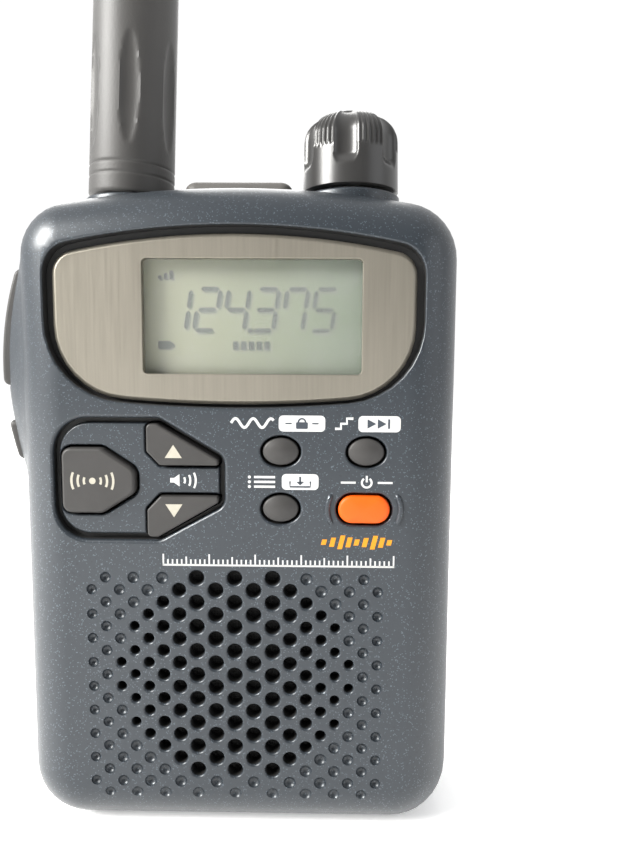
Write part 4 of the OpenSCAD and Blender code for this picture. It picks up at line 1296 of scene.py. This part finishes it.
def side_key(name, node, body):
    low, high = box(node)
    y0, y1, z0, z1 = low.y + 0.6, high.y - 0.6, low.z + 0.6, high.z - 0.6
    middle_y, half = (y0 + y1) / 2, (y1 - y0) / 2
    inner_x = -case_hw + wall + 0.4
    centre_x = fairing_r - fairing_out - case_hw
    outer_r = fairing_r + 0.45
    round_r = 0.9
    key = Stock()
    rings = []
    stations = [z0 + round_r * (1 - math.cos(math.pi / 2 * k / 5)) for k in range(6)]
    stations += [z0 + round_r + (z1 - z0 - 2 * round_r) * k / 10 for k in range(1, 10)]
    stations += [z0 + z1 - z for z in reversed(stations[:6])]
    for z in stations:
        end = min(z - z0, z1 - z)
        pull = round_r - math.sqrt(max(0, round_r**2 - max(0, round_r - end) ** 2))
        outer_x = centre_x - math.sqrt(outer_r**2 - (z - fairing_z) ** 2) + 0.6 * pull
        w = half - pull * 0.8
        section = [(inner_x, middle_y - w)]
        for k in range(6):
            a = math.pi / 2 * k / 5
            section.append((outer_x + 0.5 * (1 - math.sin(a)), middle_y - w + 0.5 * (1 - math.cos(a))))
        for k in range(5, -1, -1):
            a = math.pi / 2 * k / 5
            section.append((outer_x + 0.5 * (1 - math.sin(a)), middle_y + w - 0.5 * (1 - math.cos(a))))
        section.append((inner_x, middle_y + w))
        rings.append([(x, y, z) for x, y in section])
    key.loft(rings)
    settle(key.made(name, key_grey), body, "key_rubber", node)


side_key("func_key_cap", "func_key", "func_button")
side_key("squelch_key_cap", "squelch_key", "squelch_button")

# ---- Tuning knob
# A push-on knob of half-gloss dark plastic with a domed top. Six flutes run down from the dome to
# two thirds of its height, and fine ribs stand on the shoulder between them.


def knob_gloss(place):
    tone = cloud(place, 0.009)
    return place.node(
        "BsdfPrincipled",
        {},
        {
            "Base Color": mixed(tone, grey(0.022, 0.02), grey(0.030, 0.02)),
            "Roughness": 0.27 + 0.05 * tone,
            "Normal": relief(cloud(place, 0.0004), 0.00001, 0.5),
        },
    )


knob_plastic = finish("knob_plastic", knob_gloss)
knob_foot, knob_top = knob_low.z, knob_high.z
knob_h = knob_top - knob_foot
dome_h = 3.9
dome_r = 4.6
flute_count, first_flute = 6, math.radians(-98)
flute_foot = knob_foot + 2.6
rib_foot = knob_foot + 5.2


def knob_point(angle, along):
    """A point of the knob's outside; along runs from 0 at its foot to 1 at the middle of its top."""
    wall_part, bend_part = 0.5, 0.85
    if along < wall_part:
        z, r = knob_foot + (knob_h - dome_h) * along / wall_part, knob_r - 0.28 * along
    elif along < bend_part:
        a = math.pi / 2 * (along - wall_part) / (bend_part - wall_part) * 0.86
        r = knob_r - 0.14 - dome_r * (1 - math.cos(a))
        z = knob_foot + knob_h - dome_h + (dome_h - 0.25) / math.sin(math.pi / 2 * 0.86) * math.sin(a)
    else:
        s = (1 - along) / (1 - bend_part)
        rim = knob_r - 0.14 - dome_r * (1 - math.cos(math.pi / 2 * 0.86))
        r, z = rim * s, knob_top - 0.25 * s**2
    step = math.tau / flute_count
    off = (angle - first_flute + step / 2) % step - step / 2
    drop = smooth((z - flute_foot) / 1.6) * smooth((r - 3.0) / 1.6)
    half_width = math.radians(14.5) * (1 - 0.35 * smooth((flute_foot + 1.8 - z) / 2.0))
    flute = max(0.0, 1 - (off / half_width) ** 2) ** 0.6 if abs(off) < half_width else 0.0
    r -= 0.85 * flute * drop
    if flute == 0.0 and rib_foot < z:
        ribs = 0.5 - 0.5 * math.cos((abs(off) - half_width) / (step / 2 - half_width) * math.pi * 5)
        r -= 0.20 * ribs * smooth((z - rib_foot) / 0.4) * smooth((r - 2.6) / 0.8)
    return (knob_x + r * math.cos(angle), top_row_y + r * math.sin(angle), z)


round_steps = 288
turns = [math.tau * k / round_steps for k in range(round_steps)]
hollow_r = 5.3
knob = Stock()
rings = []
for r, z in ((hollow_r, knob_foot + 1.6), (hollow_r, knob_foot), (knob_r - 0.25, knob_foot)):
    rings.append([(knob_x + r * math.cos(a), top_row_y + r * math.sin(a), z) for a in turns])
rings += [[knob_point(a, 0.012 + 0.976 * k / 60) for a in turns] for k in range(61)]
knob.loft(rings)
settle(knob.made("tuning_knob_cap", knob_plastic), "knob", "knob_plastic", "tuning_knob", angle=50)

# ---- Antenna
# A flexible moulded rubber aerial: a thick grip with six long shallow finger ovals, a shoulder, and a
# thinner whip with a rounded end. It screws down on its connector and leans slightly to the right.


def aerial_black(place):
    tone = cloud(place, 0.006, 3, (1, 1, 0.3))
    fine = cloud(place, 0.0003, 3)
    return place.node(
        "BsdfPrincipled",
        {},
        {
            "Base Color": mixed(tone, grey(0.024, 0.03), grey(0.044, 0.05)),
            "Specular IOR Level": 0.38,
            "Roughness": 0.44 + 0.12 * tone,
            "Normal": relief(fine, 0.00003, 0.7),
            "Sheen Weight": 0.15,
            "Sheen Roughness": 0.5,
        },
    )


aerial_rubber = finish("aerial_rubber", aerial_black)
antenna_foot = box("antenna_sleeve")[0].z
lean = math.radians(2.5)
grip_len, shoulder_len, whip_len = 42.0, 7.0, 104.0
whip_r, tip_r = 4.1, 3.2
whip_end = grip_len + whip_len
scoop_h, scoop_reach, scoop_width, scoop_depth = 13.6, 7.4, math.radians(13), 0.5


def antenna_r(h):
    if h < 0.5:
        return grip_r - 0.25 * (1 - h / 0.5) ** 2
    if h < grip_len - shoulder_len:
        return grip_r - 0.25 * h / (grip_len - shoulder_len)
    if h < grip_len:
        share = smooth((h - grip_len + shoulder_len) / shoulder_len)
        return grip_r - 0.25 + (whip_r - grip_r + 0.25) * share
    if h < whip_end - tip_r:
        return whip_r + (tip_r - whip_r) * (h - grip_len) / (whip_len - tip_r)
    return math.sqrt(max(0.0, tip_r**2 - (h - whip_end + tip_r) ** 2))


def antenna_point(angle, h):
    r = antenna_r(h)
    step = math.tau / 6
    off = (angle - math.radians(-80) + step / 2) % step - step / 2
    rise = 1 - ((h - scoop_h) / scoop_reach) ** 2
    if rise > 0 and abs(off) < scoop_width * math.sqrt(rise):
        r -= scoop_depth * (rise - (off / scoop_width) ** 2) ** 0.7
    for line in (2.6, 4.1):
        r -= 0.12 * math.exp(-(((h - line) / 0.16) ** 2))
    x, z = r * math.cos(angle), h
    return (
        antenna_x + x * math.cos(lean) + z * math.sin(lean),
        top_row_y + r * math.sin(angle),
        max(antenna_foot, antenna_foot + z * math.cos(lean) - x * math.sin(lean)),
    )


heights = [0, 0.15, 0.3, 0.5]
heights += [0.5 + 0.12 * k for k in range(1, 36)]
heights += [4.7 + 0.3 * k for k in range(1, 62)]
heights += [23.0 + 1.0 * k for k in range(1, 20)]
heights += [grip_len + (whip_len - tip_r) * k / 20 for k in range(1, 21)]
heights += [whip_end - tip_r + tip_r * math.sin(math.pi / 2 * k / 8) for k in range(1, 8)]
heights += [whip_end - 0.01]
plug_top = plug_high.z
antenna_turns = [math.tau * k / 120 for k in range(120)]
sleeve = Stock()
rings = []
for r, z in ((4.62, plug_top + 0.1), (4.62, antenna_foot), (grip_r - 0.4, antenna_foot)):
    rings.append([(antenna_x + r * math.cos(a), top_row_y + r * math.sin(a), z) for a in antenna_turns])
rings += [[antenna_point(a, h) for a in antenna_turns] for h in heights]
sleeve.loft(rings)
settle(sleeve.made("antenna_grip_and_whip", aerial_rubber), "antenna", "aerial_rubber", "antenna_sleeve")

# ---- Jack cap
# A soft brown-black rubber lid over the two sockets in the top, chamfered all round, that swings back
# on a rounded strip along its rear edge. Two short stubs under it plug the sockets.


def cap_rubber_paint(place):
    tone = cloud(place, 0.003)
    return place.node(
        "BsdfPrincipled",
        {},
        {
            "Base Color": mixed(tone, grey(0.060, 0.05), grey(0.090, 0.07)),
            "Roughness": 0.55 + 0.15 * tone,
            "Normal": relief(cloud(place, 0.0003), 0.00002, 0.7),
        },
    )


cap_rubber = finish("cap_rubber", cap_rubber_paint)
hinge_r = 1.2
lid_round = 1.5
cap_outline = rounded(
    [
        (cap_low.x, cap_low.y),
        (cap_high.x, cap_low.y),
        (cap_high.x, cap_high.y - hinge_r),
        (cap_low.x, cap_high.y - hinge_r),
    ],
    [lid_round + 0.2] * 2 + [lid_round + 0.1] * 2,
)
cap_top = cap_high.z
cap_foot = cap_top - 2.4
cap = Stock()
cap_steps = [(0, cap_foot), (0, cap_foot + 1.1)]
for k in range(1, 7):
    a = math.pi / 2 * k / 6
    cap_steps.append((-lid_round * (1 - math.cos(a)), cap_foot + 1.1 + 1.3 * math.sin(a)))
cap.loft([[(x, y, z) for x, y in grown(cap_outline, grow)] for grow, z in cap_steps])
jack_cap = cap.made("jack_cap_lid", cap_rubber)
strip = Stock()
hinge_y, hinge_z = cap_high.y - hinge_r, cap_foot + hinge_r
strip_ends = ((cap_low.x, 0.9), (cap_low.x + 0.3, 1.2), (cap_high.x - 0.3, 1.2), (cap_high.x, 0.9))
strip_turns = [(x, arc(0, 0, r, 0, math.tau, 28)) for x, r in strip_ends]
strip.loft([[(x, hinge_y + p, hinge_z + q) for p, q in ring] for x, ring in strip_turns])
for node in ("phone_jack", "power_jack"):
    x, z = middle_of(node)
    strip.upright(x, top_row_y, cap_low.z, cap_foot + 0.4, 1.3, 32)
carve(jack_cap, strip.made("hinge_strip", cap_rubber), "UNION", crossing=True)
settle(jack_cap, "jack_flap", "cap_rubber", "jack_cap")

# ---- Inside
# What a lifted cap or a slid cover shows, and the works behind them: moulded holders, boards and chips,
# plated cans and screws, brass contacts, the loudspeaker, and two wrapped cells on their springs.


def moulded(low, high, rough, metal=0.0, patch=0.002, grain=0.0003, depth=0.00001):
    def paint(place):
        tone = cloud(place, patch)
        return place.node(
            "BsdfPrincipled",
            {},
            {
                "Base Color": mixed(tone, low, high),
                "Metallic": metal,
                "Roughness": rough + 0.15 * tone,
                "Normal": relief(cloud(place, grain), depth, 0.6),
            },
        )

    return paint


def woven(place):
    """Black loudspeaker cloth: two sets of fine threads."""
    across = place.node("TexWave", {"bands_direction": "X"}, {"Vector": place, "Scale": 900})
    up = place.node("TexWave", {"bands_direction": "Z"}, {"Vector": place, "Scale": 900})
    weave = across * 0.5 + up * 0.5
    return place.node(
        "BsdfPrincipled",
        {},
        {
            "Base Color": mixed(weave, grey(0.004), grey(0.016)),
            "Roughness": 0.8 + 0.1 * weave,
            "Normal": relief(weave, 0.00005),
        },
    )


def cell_wrapper(place):
    """A printed film round the cell: green, with copper at the positive end of each."""
    across = place.node("SeparateXYZ", {}, {"Vector": place}, "X")
    height = place.node("SeparateXYZ", {}, {"Vector": place}, "Z")
    tone = cloud(place, 0.004)
    sleeve_paint = mixed(tone, (0.012, 0.10, 0.045, 1), (0.02, 0.14, 0.06, 1))
    band = 14.0
    top_band = height > (box("left_cell")[1].z - band) * MM
    foot_band = 1.0 - (height > (box("right_cell")[0].z + band) * MM)
    right = across > 0.0
    banded = right * foot_band + (1.0 - right) * top_band
    return place.node(
        "BsdfPrincipled",
        {},
        {
            "Base Color": mixed(banded, sleeve_paint, (0.62, 0.34, 0.16, 1)),
            "Metallic": 0.35 + 0.4 * banded,
            "Roughness": 0.28 + 0.1 * tone,
            "Normal": relief(tone, 0.00001),
        },
    )


black_plastic = finish("black_plastic", moulded(grey(0.012), grey(0.022), 0.42))
white_plastic = finish("white_plastic", moulded(grey(0.62, 0.02), grey(0.70, 0.03), 0.45))
green_low, green_high = (0.008, 0.10, 0.045, 1), (0.015, 0.16, 0.075, 1)
board_green = finish("board_green", moulded(green_low, green_high, 0.35, 0.0, 0.001))
chip_black = finish("chip_black", moulded(grey(0.015), grey(0.03), 0.5))
filter_ceramic = finish("filter_ceramic", moulded((0.42, 0.36, 0.22, 1), (0.52, 0.45, 0.30, 1), 0.5))
tin_steel = finish("tin_steel", moulded(grey(0.48), grey(0.60, 0.01), 0.28, 1.0, 0.004))
brass = finish("brass", moulded((0.60, 0.42, 0.15, 1), (0.74, 0.54, 0.22, 1), 0.25, 1.0))
copper_wire = finish("copper_wire", moulded((0.50, 0.20, 0.08, 1), (0.66, 0.28, 0.12, 1), 0.3, 1.0))
rubber_black = finish("rubber_black", moulded(grey(0.015), grey(0.028), 0.6))
speaker_cloth = finish("speaker_cloth", woven)
paper_low, paper_high = (0.05, 0.042, 0.036, 1), (0.08, 0.068, 0.058, 1)
cone_paper = finish("cone_paper", moulded(paper_low, paper_high, 0.75, 0.0, 0.001, 0.0002, 0.00003))
magnet_iron = finish("magnet_iron", moulded(grey(0.10), grey(0.16), 0.45, 0.8))
cell_wrap = finish("cell_wrap", cell_wrapper)
spring_steel = finish("spring_steel", moulded(grey(0.50), grey(0.66), 0.22, 1.0))
inside_finishes = {
    black_plastic: ("phone_jack", "power_jack", "light_guide"),
    white_plastic: ("lcd_holder", "side_switches", "board_link", "dome_sheet"),
    board_green: ("logic_board", "side_board", "rf_board"),
    chip_black: ("logic_chips",),
    filter_ceramic: ("rf_filters",),
    tin_steel: ("rf_shield", "encoder_body", "encoder_nut"),
    screw_steel: ("board_screws", "encoder_shaft"),
    brass: ("antenna_connector", "connector_nut", "antenna_pin", "antenna_plug"),
    copper_wire: ("antenna_core",),
    rubber_black: ("case_seal", "key_seal_sheet", "zebra_strips"),
    speaker_cloth: ("speaker_cloth",),
    cone_paper: ("speaker_cone",),
    magnet_iron: ("speaker_magnet", "speaker_frame"),
    cell_wrap: ("left_cell", "right_cell"),
    spring_steel: ("battery_springs", "battery_contacts"),
}
for material, nodes in inside_finishes.items():
    for node in nodes:
        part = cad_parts[node]
        part.data.materials.clear()
        part.data.materials.append(material)
